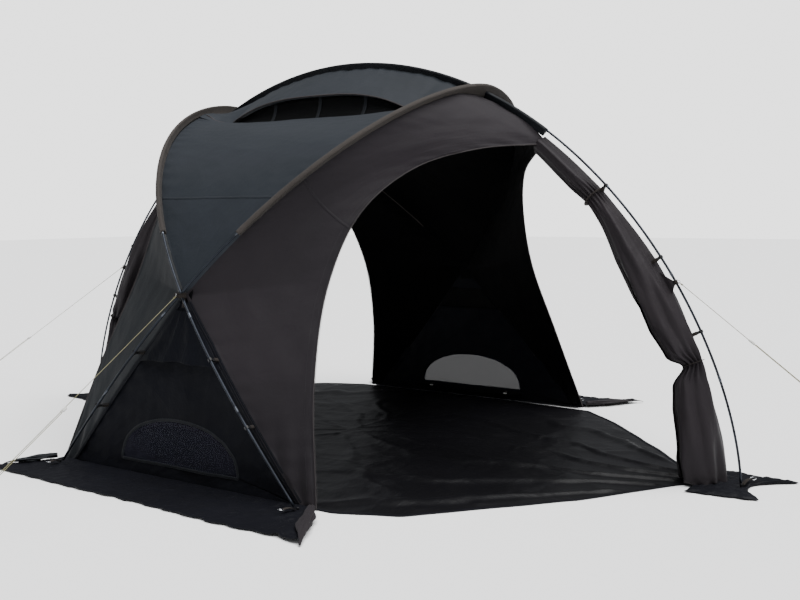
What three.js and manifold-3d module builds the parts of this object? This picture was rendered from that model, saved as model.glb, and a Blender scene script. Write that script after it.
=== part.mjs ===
// A three-pole dome shelter: two leaning hoops cross on each side wall, a ridge pole runs over both.
// Millimetres, +Z up. The ridge pole lies in the plane x = 0, and its two feet are at -Y and +Y.
// The origin is on the ground, in the middle of the floor.
import * as THREE from "three";
import { mergeVertices } from "three/addons/utils/BufferGeometryUtils.js";
import Module from "manifold-3d";

const wasm = await Module();
wasm.setup();

// Driving dimensions.
const RIDGE_REACH = 2296; // foot of the ridge pole, from the middle
const RIDGE_HEIGHT = 2150;
const HOOP_REACH = 1453; // foot of a hoop, from the middle, across the ridge
const HOOP_FOOT = 805; // foot of a hoop, along the ridge
const HOOP_LEAN = 931; // how far a hoop's top leans over to the other side, along the ridge
const POLE_R = 6;
const POLE_GAP = 1.5; // half the space between two poles that cross
const TIP_R = 4;
const TIP_LENGTH = 40;
const SLEEVE_R = 17;
const SLEEVE_BORE = 9.5;
const FABRIC = 2.5; // thickness that stands for the cloth
const MESH = 1; // the same for the mesh
const CLEAR = 1.5; // space between a cloth and its neighbour
const TAB = 60; // length of the webbing that ties a wall to a bare leg
const DOOR_TAB = 36; // the same on the ridge pole's legs
const FLOOR_CLEAR = 1; // space between a pole's tip and the cloth under it
const SLEEVE_START = 1210; // height where a hoop goes into its sleeve
const RIDGE_SLEEVE_REACH = 1275; // how far the ridge sleeve goes, along the ridge
const CAP_HALF = 300; // half the width of the ridge cap
const ROOF_EDGE = 330; // where a roof panel stops, below the cap's lip
const ROOF_SAG = 85;
const LIP_LIFT = 62; // how far the wired lip stands above the hoops' line
const VENT_REACH = 640; // half the length of the vent below the lip
const VENT_MESH_REACH = 550;
const WINDOW_HALF = 396;
const WINDOW_LOW = 76;
const WINDOW_HIGH = 304;
const HOOD_HEM = 575; // height of the side vent hood's lower edge
const HOOD_GAP = 26; // how far the hem stands off the wall
const VENT_LOW = 630;
const VENT_HIGH = 770;
const SKIRT_WIDTH = 330;
const SKIRT = 4; // height of the skirt cloth on the ground
const SHEET = 3; // height of the ground sheet
const CLIP_WIDTH = 14;
const ROPE_R = 1.5;
const RUNNER_LENGTH = 34;

// Curves. A hoop bends as |x/reach|^1.78 + (v/rise)^2.66 = 1 in its own leaning plane.
const HOOP_POWER = { across: 1.78, up: 2.66 };
const RIDGE_POWER = { along: 1.988, up: 1.649 };

function ridgeHeight(y) {
  const share = Math.min(1, Math.abs(y / RIDGE_REACH));
  return RIDGE_HEIGHT * (1 - share ** RIDGE_POWER.along) ** (1 / RIDGE_POWER.up);
}

function ridgeReach(z) {
  return RIDGE_REACH * (1 - (z / RIDGE_HEIGHT) ** RIDGE_POWER.up) ** (1 / RIDGE_POWER.along);
}

// A hoop's sleeve lies on the ridge pole's sleeve where they cross.
const HOOP_HEIGHT = ridgeHeight(HOOP_LEAN) + 2 * SLEEVE_R + 4 * CLEAR;

function hoopHalf(z, reach = HOOP_REACH) {
  const share = Math.min(1, z / HOOP_HEIGHT);
  return reach * (1 - share ** HOOP_POWER.up) ** (1 / HOOP_POWER.across);
}

// How far a hoop has still to lean at height z: its foot's side is +, the far side is -.
function hoopAlong(z) {
  return HOOP_FOOT - ((HOOP_FOOT + HOOP_LEAN) * z) / HOOP_HEIGHT;
}

function hoopHeight(x, reach = HOOP_REACH) {
  const share = Math.min(1, Math.abs(x / reach));
  return HOOP_HEIGHT * (1 - share ** HOOP_POWER.across) ** (1 / HOOP_POWER.up);
}

const CROSS_Z = (HOOP_FOOT / (HOOP_FOOT + HOOP_LEAN)) * HOOP_HEIGHT;
const CROSS_X = hoopHalf(CROSS_Z);

// An angle of 0 to PI takes a point from one foot of a pole to the other.
function hoopPoint(angle, end, reach) {
  const x = -reach * Math.cos(angle);
  const z = hoopHeight(x, reach);
  return new THREE.Vector3(x, end * hoopAlong(z), z);
}

function ridgePoint(angle) {
  const y = -RIDGE_REACH * Math.cos(angle);
  return new THREE.Vector3(0, y, ridgeHeight(y));
}

// Towards the middle of the living space, level at the ground and straight down at the top.
const SHOULDER = 850;
function inward(p) {
  return new THREE.Vector3(-p.x, -p.y / 2, -Math.max(0, p.z - SHOULDER)).normalize();
}

// Which way a pole runs at height z.
function tangentOf(rule, z) {
  const step = 1;
  return rule(z + step).sub(rule(z - step)).normalize();
}

class PartCurve extends THREE.Curve {
  constructor(rule) {
    super();
    this.rule = rule;
  }
  getPoint(t, target = new THREE.Vector3()) {
    return target.copy(this.rule(t));
  }
}

// Solids.
function solidFrom(geometry) {
  const bare = geometry.index ? geometry.toNonIndexed() : geometry.clone();
  bare.deleteAttribute("normal");
  bare.deleteAttribute("uv");
  const merged = mergeVertices(bare, 1e-3);
  const mesh = new wasm.Mesh({
    numProp: 3,
    vertProperties: new Float32Array(merged.attributes.position.array),
    triVerts: new Uint32Array(merged.index.array),
  });
  return new wasm.Manifold(mesh);
}

function geometryFrom(solid) {
  const mesh = solid.getMesh();
  const geometry = new THREE.BufferGeometry();
  geometry.setAttribute("position", new THREE.BufferAttribute(mesh.vertProperties, 3));
  geometry.setIndex(new THREE.BufferAttribute(mesh.triVerts, 1));
  return geometry;
}

function signedVolume(points, faces) {
  let total = 0;
  for (const [a, b, c] of faces) {
    total += points[a].dot(new THREE.Vector3().crossVectors(points[b], points[c]));
  }
  return total / 6;
}

function geometryOf(points, faces) {
  const outward = signedVolume(points, faces) > 0;
  const turned = outward ? faces : faces.map(([a, b, c]) => [a, c, b]);
  const geometry = new THREE.BufferGeometry().setFromPoints(points);
  geometry.setIndex(turned.flat());
  return geometry;
}

// A cloth: rule(u, v) is its outer face, and the inner face is one thickness further in.
function cloth(rule, across, along, thickness = FABRIC) {
  const points = [];
  const step = 1e-3;
  for (let side = 0; side < 2; side++) {
    for (let i = 0; i <= across; i++) {
      for (let j = 0; j <= along; j++) {
        const [u, v] = [i / across, j / along];
        const [lowU, highU] = [Math.max(0, u - step), Math.min(1, u + step)];
        const [lowV, highV] = [Math.max(0, v - step), Math.min(1, v + step)];
        const du = rule(highU, v).sub(rule(lowU, v));
        const dv = rule(u, highV).sub(rule(u, lowV));
        const normal = du.cross(dv).normalize();
        points.push(rule(u, v).addScaledVector(normal, side * thickness));
      }
    }
  }
  const faces = [];
  const at = (side, i, j) => side * (across + 1) * (along + 1) + i * (along + 1) + j;
  const quad = (a, b, c, d) => faces.push([a, b, c], [a, c, d]);
  for (let i = 0; i < across; i++) {
    for (let j = 0; j < along; j++) {
      quad(at(0, i, j), at(0, i + 1, j), at(0, i + 1, j + 1), at(0, i, j + 1));
      quad(at(1, i, j), at(1, i, j + 1), at(1, i + 1, j + 1), at(1, i + 1, j));
    }
    quad(at(0, i, 0), at(1, i, 0), at(1, i + 1, 0), at(0, i + 1, 0));
    quad(at(0, i, along), at(0, i + 1, along), at(1, i + 1, along), at(1, i, along));
  }
  for (let j = 0; j < along; j++) {
    quad(at(0, 0, j), at(0, 0, j + 1), at(1, 0, j + 1), at(1, 0, j));
    quad(at(0, across, j), at(1, across, j), at(1, across, j + 1), at(0, across, j + 1));
  }
  return geometryOf(points, faces);
}

// A closed skin through rings of points, with a flat cap at each end.
function loft(rings) {
  const sides = rings[0].length;
  const points = rings.flat();
  const faces = [];
  for (let i = 0; i + 1 < rings.length; i++) {
    for (let j = 0; j < sides; j++) {
      const next = (j + 1) % sides;
      const [a, b] = [i * sides + j, i * sides + next];
      faces.push([a, b, b + sides], [a, b + sides, a + sides]);
    }
  }
  const last = (rings.length - 1) * sides;
  for (let j = 1; j + 1 < sides; j++) {
    faces.push([0, j + 1, j], [last, last + j, last + j + 1]);
  }
  return geometryOf(points, faces);
}

function disc(radius, sides) {
  const shape = new THREE.Shape();
  for (let i = 0; i < sides; i++) {
    const angle = (2 * Math.PI * (i + 0.5)) / sides;
    const corner = [radius * Math.cos(angle), radius * Math.sin(angle)];
    if (i) shape.lineTo(...corner);
    else shape.moveTo(...corner);
  }
  shape.closePath();
  return shape;
}

function tube(rule, steps, radius, sides, bore = 0) {
  const shape = disc(radius, sides);
  if (bore) shape.holes.push(disc(bore / Math.cos(Math.PI / sides), sides));
  const extrudePath = new PartCurve(rule);
  return new THREE.ExtrudeGeometry(shape, { steps, extrudePath, bevelEnabled: false });
}

function outline(corners) {
  return new THREE.Shape(corners.map(([x, y]) => new THREE.Vector2(x, y)));
}

// The parts.
const COLOURS = {
  pole: [0x3d434c, 0.35, 0.8],
  tip: [0x15161a, 0.6, 0.0],
  sleeve: [0x5a534d, 0.85, 0.0],
  ridgeSleeve: [0x191c22, 0.8, 0.0],
  roof: [0x2d363e, 0.75, 0.0],
  panel: [0x322d30, 0.8, 0.0],
  dark: [0x14161c, 0.8, 0.0],
  mesh: [0x0c0e12, 0.9, 0.0],
  sheet: [0x15161c, 0.4, 0.0],
  webbing: [0x4a3f38, 0.9, 0.0],
  clip: [0x0e0e10, 0.5, 0.0],
  rope: [0x6b6347, 0.9, 0.0],
};

const shelter = new THREE.Group();

function add(name, finish, geometry) {
  const [color, roughness, metalness] = COLOURS[finish];
  const material = new THREE.MeshStandardMaterial({ color, roughness, metalness });
  geometry.computeVertexNormals();
  const mesh = new THREE.Mesh(geometry, material);
  mesh.name = name;
  shelter.add(mesh);
  return mesh;
}

const SIDES = { left: -1, right: 1 };
const ENDS = { front: -1, back: 1 };

// Poles. The front hoop has its feet at the back, and crosses outside the back hoop.
const HOOPS = {
  back_foot: { end: 1, reach: HOOP_REACH + POLE_R + POLE_GAP },
  front_foot: { end: -1, reach: HOOP_REACH - POLE_R - POLE_GAP },
};
const POLE_LOW = SKIRT + FLOOR_CLEAR + TIP_LENGTH / 2;

function poles() {
  for (const [name, { end, reach }] of Object.entries(HOOPS)) {
    const start = Math.acos(hoopHalf(POLE_LOW, reach) / reach);
    const rule = (t) => hoopPoint(start + t * (Math.PI - 2 * start), end, reach);
    add(`${name}_hoop_pole`, "pole", tube(rule, 44, POLE_R, 8));
    for (const [side, sign] of Object.entries(SIDES)) {
      add(`${name}_${side}_tip`, "tip", tip(sign * hoopHalf(0, reach), end * HOOP_FOOT));
    }
  }
  const start = Math.acos(ridgeReach(POLE_LOW) / RIDGE_REACH);
  const rule = (t) => ridgePoint(start + t * (Math.PI - 2 * start));
  add("ridge_pole", "pole", tube(rule, 48, POLE_R, 8));
  for (const [end, sign] of Object.entries(ENDS)) {
    add(`ridge_${end}_tip`, "tip", tip(0, sign * RIDGE_REACH));
  }
}

// A plug below the end of a pole, with a collar as wide as the pole.
const TIP_COLLAR = 6;
function tip(x, y) {
  const low = SKIRT + FLOOR_CLEAR;
  const high = POLE_LOW - FLOOR_CLEAR;
  const profile = [
    [0, low],
    [TIP_R * 0.7, low],
    [TIP_R, low + TIP_R / 2],
    [TIP_R, high - TIP_COLLAR],
    [POLE_R, high - TIP_COLLAR],
    [POLE_R, high],
    [0, high],
  ].map(([r, z]) => new THREE.Vector2(r, z));
  return new THREE.LatheGeometry(profile, 10).rotateX(Math.PI / 2).translate(x, y, 0);
}

// Sleeves.
function sleeves() {
  for (const [name, { end, reach }] of Object.entries(HOOPS)) {
    const start = Math.acos(hoopHalf(SLEEVE_START, reach) / reach);
    const rule = (t) => hoopPoint(start + t * (Math.PI - 2 * start), end, reach);
    add(`${name}_hoop_sleeve`, "sleeve", tube(rule, 36, SLEEVE_R, 8, SLEEVE_BORE));
  }
  const start = Math.acos(RIDGE_SLEEVE_REACH / RIDGE_REACH);
  const rule = (t) => ridgePoint(start + t * (Math.PI - 2 * start));
  add("ridge_sleeve", "ridgeSleeve", tube(rule, 28, SLEEVE_R, 8, SLEEVE_BORE));
}

// Where the cloth runs below a hoop: off a bare leg by the webbing, close under a sleeve,
// and under the ridge sleeve as well where the two cross.
const UNDER_SLEEVE = SLEEVE_R + POLE_R + POLE_GAP + CLEAR;
const UNDER_CROSSING = UNDER_SLEEVE + 4;
const RIDGE_DIP = { depth: 2 * SLEEVE_R + 5 * CLEAR, reach: 260 };
const FULL_TAB = 0.75; // the webbing is at full length up to this share of the crossing's height

function steps(value, table) {
  for (let i = 1; i < table.length; i++) {
    const [[a, low], [b, high]] = [table[i - 1], table[i]];
    if (value <= b) return low + ((high - low) * Math.max(0, value - a)) / (b - a);
  }
  return table[table.length - 1][1];
}

function inset(z, x) {
  const table = [
    [0, TAB],
    [FULL_TAB * CROSS_Z, TAB],
    [CROSS_Z, UNDER_CROSSING],
    [SLEEVE_START, UNDER_SLEEVE],
  ];
  return steps(z, table) + RIDGE_DIP.depth * Math.max(0, 1 - Math.abs(x) / RIDGE_DIP.reach);
}

// The edge of the cloth under a hoop, at an angle from its foot on the given side.
function edgeAt(x, z, end) {
  const p = new THREE.Vector3(x, end * hoopAlong(z), z);
  return p.addScaledVector(inward(p), inset(z, x));
}

function edgeAtHeight(z, side, end) {
  return edgeAt(side * hoopHalf(z), z, end);
}

function edgeAcross(x, end) {
  return edgeAt(x, hoopHeight(x), end);
}

// Between the two hoops: v runs from the front hoop's line to the back one's, short of both.
const EDGE_GAP = 3 * CLEAR + FABRIC;
const WIDEST_GAP = 0.4; // of the distance, where the two lines come close together
function between(a, b, v) {
  const gap = Math.min(WIDEST_GAP, EDGE_GAP / a.distanceTo(b));
  return a.clone().lerp(b, gap + v * (1 - 2 * gap));
}

function roofPoint(side, u, v) {
  const low = hoopHalf(CROSS_Z + TAB);
  const x = side * (low + (ROOF_EDGE - low) * Math.sin((u * Math.PI) / 2));
  const p = between(edgeAcross(x, -1), edgeAcross(x, 1), v);
  const middle = 1 - (2 * v - 1) ** 4;
  p.z -= ROOF_SAG * u ** 2 * middle;
  return p;
}

function roof() {
  for (const [name, side] of Object.entries(SIDES)) {
    const rule = (u, v) => roofPoint(side, u, side < 0 ? 1 - v : v);
    add(`roof_${name}`, "roof", cloth(rule, 12, 12));
  }
}

// The ridge cap hangs from the ridge sleeve, and its two wired lips stand above the roof.
function lipHeight(y) {
  const share = Math.min(1, Math.abs(y) / VENT_REACH);
  const hoop = edgeAcross(CAP_HALF, -1).z;
  return hoop + LIP_LIFT * (1 - share ** 3);
}

function capPoint(u, v) {
  const across = 2 * v - 1;
  const hoop = edgeAcross(across * CAP_HALF, -1);
  const y = (2 * u - 1) * (Math.abs(hoop.y) - EDGE_GAP);
  const ridge = ridgeHeight(y) - UNDER_SLEEVE;
  const fall = Math.abs(across) ** 1.15;
  return new THREE.Vector3(across * CAP_HALF, y, ridge + (lipHeight(y) - ridge) * fall);
}

// A strip of mesh stands between the edge of each roof panel and the lip above it.
const VENT_INSET = { low: 10, high: 20 };
function ridgeCap() {
  add("ridge_cap", "roof", cloth(capPoint, 20, 10));
  for (const [name, side] of Object.entries(SIDES)) {
    const rule = (u, v) => {
      const y = (2 * u - 1) * VENT_MESH_REACH;
      const low = roofPoint(side, 1, (1 + y / HOOP_LEAN) / 2);
      const top = new THREE.Vector3(side * (CAP_HALF - VENT_INSET.high), y, lipHeight(y) - CLEAR);
      low.set(low.x - side * VENT_INSET.low, y, low.z);
      return low.lerp(top, side < 0 ? 1 - v : v);
    };
    add(`ridge_vent_mesh_${name}`, "mesh", cloth(rule, 16, 1, MESH));
  }
}

// The four panels round the doorways. Each fills the face between a hoop's line and the arched
// edge of its doorway, and reaches the ridge pole's leg above the arch.
const HALF_SEAM = 4; // space left at the middle for the seam of two panels
const PANEL_LOW = 9; // where the panels and the gathered doors start, above the ground sheet
const ARCH_SHARE = 0.88; // how much of a panel's length lies along the arch

function hoopLine(side, end) {
  return new PartCurve((t) => {
    if (t < 0.5) return edgeAtHeight(PANEL_LOW + 2 * t * (CROSS_Z - PANEL_LOW), side, end);
    const across = HALF_SEAM + (CROSS_X - HALF_SEAM) * Math.cos((t - 0.5) * Math.PI);
    return edgeAcross(side * across, -end);
  });
}

function ridgeUnder(y, side, end) {
  const under = [
    [RIDGE_SLEEVE_REACH, UNDER_SLEEVE],
    [RIDGE_SLEEVE_REACH + 150, DOOR_TAB],
  ];
  const p = new THREE.Vector3(0, -y, ridgeHeight(y));
  p.addScaledVector(inward(p), steps(y, under));
  return p.set(side * HALF_SEAM, -end * p.y, p.z);
}

// The doorway's edge from the foot to the ridge pole's leg, as shares of the hoop's reach,
// its lean and its height.
const DOORWAY = [
  [0.955, 0.924, 0],
  [0.85, 0.785, 0.26],
  [0.71, 0.708, 0.489],
  [0.571, 0.757, 0.66],
  [0.396, 0.909, 0.769],
  [0.217, 1.128, 0.818],
  [0, 1.368, 0.834],
];

function doorwayCurve(side, end) {
  const points = DOORWAY.map(([across, along, up]) => {
    const x = side * Math.max(HALF_SEAM, across * HOOP_REACH);
    return new THREE.Vector3(x, end * along * HOOP_LEAN, PANEL_LOW + up * HOOP_HEIGHT);
  });
  return new THREE.CatmullRomCurve3(points);
}

function panelEdge(side, end) {
  const arch = doorwayCurve(side, end);
  const top = arch.getPointAt(1);
  return (u) => {
    if (u <= ARCH_SHARE) return arch.getPointAt(u / ARCH_SHARE);
    const above = (u - ARCH_SHARE) / (1 - ARCH_SHARE);
    const p = ridgeUnder(Math.abs(top.y) + (HOOP_LEAN - Math.abs(top.y)) * above, side, end);
    return top.clone().lerp(p, Math.min(1, 4 * above));
  };
}

function doorPanels() {
  for (const [endName, end] of Object.entries(ENDS)) {
    for (const [sideName, side] of Object.entries(SIDES)) {
      const outer = hoopLine(side, end);
      const inner = panelEdge(side, end);
      const rule = (u, v) => outer.getPointAt(u).lerp(inner(u), v);
      const turned = side * end > 0 ? rule : (u, v) => rule(u, 1 - v);
      add(`${endName}_${sideName}_door_panel`, "panel", cloth(turned, 32, 6));
    }
  }
}

// Side walls, their windows and their vents.
function wallPoint(side, z, v) {
  return between(edgeAtHeight(z, side, -1), edgeAtHeight(z, side, 1), v);
}

const WALL_LOW = SKIRT + 2 * CLEAR;
const WALL_HIGH = CROSS_Z - TAB;

const THROUGH = 2 * (TAB + POLE_R); // more than the depth a wall takes up across the ridge
function throughWall(corners) {
  const options = { depth: THROUGH, bevelEnabled: false };
  const plate = new THREE.ExtrudeGeometry(outline(corners), options);
  const turn = new THREE.Matrix4().makeBasis(
    new THREE.Vector3(0, 1, 0),
    new THREE.Vector3(0, 0, 1),
    new THREE.Vector3(1, 0, 0),
  );
  return solidFrom(plate.applyMatrix4(turn));
}

function arch(half, low, high, shrink = 0) {
  const corners = [];
  for (let i = 0; i <= 20; i++) {
    const angle = (i * Math.PI) / 20;
    const across = (half - shrink) * Math.cos(angle);
    corners.push([across, low + shrink + (high - low - 2 * shrink) * Math.sin(angle) ** 0.85]);
  }
  return corners;
}

const HOOD_WAVE = { depth: 9, halves: 5 }; // the slack hem's rise and fall
const HOOD_SHARE = 0.96; // of the wall's width

function walls() {
  for (const [name, side] of Object.entries(SIDES)) {
    const face = (thickness) => {
      const rule = (u, v) => {
        const z = WALL_LOW + u * (WALL_HIGH - WALL_LOW);
        return wallPoint(side, z, side < 0 ? 1 - v : v);
      };
      return cloth(rule, 8, 1, thickness);
    };
    const shift = side < 0 ? -HOOP_REACH : HOOP_REACH - THROUGH;
    const window = throughWall(arch(WINDOW_HALF, WINDOW_LOW, WINDOW_HIGH));
    const vent = throughWall([
      [-hoopAlong(VENT_LOW) + TAB, VENT_LOW],
      [hoopAlong(VENT_LOW) - TAB, VENT_LOW],
      [hoopAlong(VENT_HIGH) - TAB / 2, VENT_HIGH],
      [-hoopAlong(VENT_HIGH) + TAB / 2, VENT_HIGH],
    ]);
    const wall = solidFrom(face(FABRIC));
    const cut = wall
      .subtract(window.translate([shift, 0, 0]))
      .subtract(vent.translate([shift, 0, 0]));
    add(`${name}_wall`, "dark", geometryFrom(cut));
    const pane = throughWall(arch(WINDOW_HALF, WINDOW_LOW, WINDOW_HIGH, CLEAR));
    const net = solidFrom(face(MESH)).intersect(pane.translate([shift, 0, 0]));
    add(`${name}_window_mesh`, "mesh", geometryFrom(net));
    const hood = (u, v) => {
      const wave = Math.cos(HOOD_WAVE.halves * Math.PI * (v - 0.5));
      const hem = HOOD_HEM + HOOD_WAVE.depth * wave;
      const z = hem + u * (CROSS_Z - 2 * TAB - hem);
      const across = 0.5 + (v - 0.5) * HOOD_SHARE;
      const p = wallPoint(side, z, side < 0 ? 1 - across : across);
      p.x += side * (2 * CLEAR + HOOD_GAP * (1 - u));
      return p;
    };
    add(`${name}_vent_hood`, "dark", cloth(hood, 6, 12));
  }
}

// On the ground.
function flat(corners, height) {
  return new THREE.ExtrudeGeometry(outline(corners), { depth: height, bevelEnabled: false });
}

const WALL_FOOT = HOOP_REACH - TAB;
function ground() {
  // The ground sheet has a long edge below each wall and a short one inside each ridge foot.
  const corner = [WALL_FOOT - 30, HOOP_FOOT + 120];
  const point = [100, RIDGE_REACH - 220];
  const quarter = [corner, point];
  const sheet = [
    ...quarter,
    ...quarter.map(([x, y]) => [-x, y]).reverse(),
    ...quarter.map(([x, y]) => [-x, -y]),
    ...quarter.map(([x, y]) => [x, -y]).reverse(),
  ];
  add("ground_sheet", "sheet", flat(sheet, SHEET));
  const outer = WALL_FOOT + SKIRT_WIDTH;
  const skirt = [
    [WALL_FOOT - 20, HOOP_FOOT + 20],
    [HOOP_REACH + 90, HOOP_FOOT + 105],
    [outer + 60, HOOP_FOOT + 270],
    [outer + 25, HOOP_FOOT - 40],
    [outer + 10, HOOP_FOOT / 2],
    [outer, 0],
  ];
  const half = [...skirt, ...skirt.slice(0, -1).map(([x, y]) => [x, -y]).reverse()];
  for (const [name, side] of Object.entries(SIDES)) {
    add(`${name}_skirt`, "dark", flat(half.map(([x, y]) => [side * x, y]), SKIRT));
  }
  const foot = [
    [-215, RIDGE_REACH - 200],
    [-172, RIDGE_REACH + 125],
    [-40, RIDGE_REACH + 45],
    [60, RIDGE_REACH + 45],
    [230, RIDGE_REACH + 210],
    [250, RIDGE_REACH - 170],
    [110, RIDGE_REACH - 200],
  ];
  for (const [name, end] of Object.entries(ENDS)) {
    add(`${name}_foot_skirt`, "dark", flat(foot.map(([x, y]) => [x, end * y]), SKIRT));
  }
}

// The two doors at each end, gathered along the ridge pole's leg and tied: height, radius and
// space to the pole.
const BUNDLE = [
  [0, 118, 76],
  [150, 124, 76],
  [430, 105, 66],
  [550, 92, 56],
  [610, 52, 52],
  [665, 86, 48],
  [820, 97, 46],
  [1000, 94, 42],
  [1320, 60, DOOR_TAB],
  [1470, 60, DOOR_TAB],
  [1580, 50, DOOR_TAB],
  [1672, 22, DOOR_TAB + 10],
];
const BUNDLE_FLAT = 0.9;
const BUNDLE_RINGS = 24;
const BUNDLE_SIDES = 10;

function bundleAt(z) {
  return {
    radius: steps(z, BUNDLE),
    gap: steps(z, BUNDLE.map(([height, , gap]) => [height, gap])),
  };
}

function bundles() {
  const top = BUNDLE[BUNDLE.length - 1][0];
  for (const [name, end] of Object.entries(ENDS)) {
    const line = (z) => new THREE.Vector3(0, end * ridgeReach(z), z);
    const rings = [];
    for (let i = 0; i <= BUNDLE_RINGS; i++) {
      const z = PANEL_LOW + ((top - PANEL_LOW) * i) / BUNDLE_RINGS;
      const { radius, gap } = bundleAt(z);
      const along = tangentOf(line, z);
      const inner = new THREE.Vector3(0, -end * along.z, end * along.y);
      const deep = radius * BUNDLE_FLAT;
      const middle = line(z).addScaledVector(inner, gap + CLEAR + deep);
      const ring = [];
      for (let j = 0; j < BUNDLE_SIDES; j++) {
        const turn = (2 * Math.PI * j) / BUNDLE_SIDES;
        const p = middle.clone().addScaledVector(inner, deep * Math.cos(turn));
        p.x += radius * Math.sin(turn);
        ring.push(p);
      }
      rings.push(ring);
    }
    for (const p of rings[0]) p.z = PANEL_LOW;
    add(`${name}_gathered_doors`, "panel", loft(rings));
  }
}

// Clips that hold the cloth to the bare legs. Each is a hook round the pole with an arm.
const CLIP_BORE = POLE_R + 1.8;
const CLIP_R = CLIP_BORE + 3.2;
const CLIP_ARM = 4;
const CLIP_MOUTH = 40;

function clipOutline(length) {
  const corners = [];
  const shoulder = THREE.MathUtils.radToDeg(Math.asin(CLIP_ARM / CLIP_R));
  const open = 180 - CLIP_MOUTH;
  const arc = (radius, from, to, count) => {
    for (let i = 0; i <= count; i++) {
      const angle = THREE.MathUtils.degToRad(from + ((to - from) * i) / count);
      corners.push([radius * Math.cos(angle), radius * Math.sin(angle)]);
    }
  };
  arc(CLIP_BORE, open, -open, 10);
  arc(CLIP_R, -open, -shoulder, 6);
  corners.push([length, -CLIP_ARM], [length, CLIP_ARM]);
  arc(CLIP_R, shoulder, open, 6);
  return outline(corners);
}

function clip(name, at, tangent, toward, length) {
  const across = toward.clone().addScaledVector(tangent, -toward.dot(tangent)).normalize();
  const side = new THREE.Vector3().crossVectors(tangent, across);
  const options = { depth: CLIP_WIDTH, bevelEnabled: false };
  const body = new THREE.ExtrudeGeometry(clipOutline(length), options);
  const place = new THREE.Matrix4().makeBasis(across, side, tangent).setPosition(at);
  add(name, "clip", body.translate(0, 0, -CLIP_WIDTH / 2).applyMatrix4(place));
}

const WALL_CLIPS = { low: 340, high: 625 };
const DOOR_CLIPS = { low: 730, middle: 1080, high: 1430 };

function clips() {
  for (const [sideName, side] of Object.entries(SIDES)) {
    for (const { end, reach } of Object.values(HOOPS)) {
      const rule = (z) => new THREE.Vector3(side * hoopHalf(z, reach), end * hoopAlong(z), z);
      for (const [level, z] of Object.entries(WALL_CLIPS)) {
        const at = rule(z);
        const arm = TAB + reach - HOOP_REACH - 5 * CLEAR;
        const name = `${sideName}_${end < 0 ? "front" : "back"}_leg_clip_${level}`;
        clip(name, at, tangentOf(rule, z), inward(at), arm);
      }
    }
  }
  for (const [endName, end] of Object.entries(ENDS)) {
    const rule = (z) => new THREE.Vector3(0, end * ridgeReach(z), z);
    for (const [level, z] of Object.entries(DOOR_CLIPS)) {
      const at = rule(z);
      const arm = bundleAt(z).gap - 3 * CLEAR;
      clip(`${endName}_door_clip_${level}`, at, tangentOf(rule, z), inward(at), arm);
    }
  }
}

// Webbing bands round the poles where the hoops cross. A hoop moves by its lean for each unit of
// height, so the band is as wide as both poles are over its height.
const BAND_HEIGHT = 22;
const LEAN = {
  across: (hoopHalf(CROSS_Z - 1) - hoopHalf(CROSS_Z + 1)) / 2,
  along: (HOOP_FOOT + HOOP_LEAN) / HOOP_HEIGHT,
};
const BAND = {
  across: 2 * POLE_R + POLE_GAP + (LEAN.across * BAND_HEIGHT) / 2 + 2 * CLEAR,
  along: POLE_R * Math.hypot(1, LEAN.along) + (LEAN.along * BAND_HEIGHT) / 2 + 4 * CLEAR,
  thickness: 3,
};
const square = (share) => Math.sign(share) * Math.sqrt(Math.abs(share));
function bands() {
  const rounded = (across, along) => {
    const corners = [];
    for (let i = 0; i < 20; i++) {
      const angle = (2 * Math.PI * (i + 0.5)) / 20;
      corners.push([across * square(Math.cos(angle)), along * square(Math.sin(angle))]);
    }
    return corners;
  };
  for (const [name, side] of Object.entries(SIDES)) {
    const { across, along, thickness } = BAND;
    const shape = outline(rounded(across + thickness, along + thickness));
    shape.holes.push(outline(rounded(across, along)));
    const band = new THREE.ExtrudeGeometry(shape, { depth: BAND_HEIGHT, bevelEnabled: false });
    band.translate(side * CROSS_X, 0, CROSS_Z - BAND_HEIGHT / 2);
    add(`${name}_crossing_band`, "webbing", band);
  }
}

// Guy ropes: each runs from the frame to the ground, turns round a peg and comes back to a
// runner, which slides on the rope.
const LOOP_R = 6;
const ROPE_LOW = 10;
const TIE = POLE_R + 10;
const GUYS = {
  left: { from: [-(CROSS_X + BAND.across + 6), 0, CROSS_Z], toward: [-1, 0], run: 1360, runner: 0.49 },
  front: { from: [0, -ridgeReach(960) - TIE, 960], toward: [0, -1], run: 1240, runner: 0.28 },
  back: { from: [0, ridgeReach(930) + TIE, 930], toward: [0, 1], run: 1750, runner: 0.62 },
};

function guys() {
  for (const [name, { from, toward, run, runner }] of Object.entries(GUYS)) {
    const start = new THREE.Vector3(...from);
    const end = start.clone().set(from[0] + toward[0] * run, from[1] + toward[1] * run, ROPE_LOW);
    const way = end.clone().sub(start);
    const axis = way.clone().normalize();
    const level = new THREE.Vector3(-toward[1], toward[0], 0);
    const straight = (t) => start.clone().addScaledVector(way, t);
    add(`${name}_guy_rope`, "rope", tube(straight, 4, ROPE_R, 8));
    const slide = start.clone().addScaledVector(way, runner);
    const tail = slide.clone().addScaledVector(axis, RUNNER_LENGTH / 2 + 1);
    const back = (t) => end.clone().lerp(tail, t).addScaledVector(level, 2 * LOOP_R);
    add(`${name}_guy_loop`, "rope", tube(back, 4, ROPE_R, 8));
    add(`${name}_runner`, "clip", runnerAt(slide, axis, level));
  }
}

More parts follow.
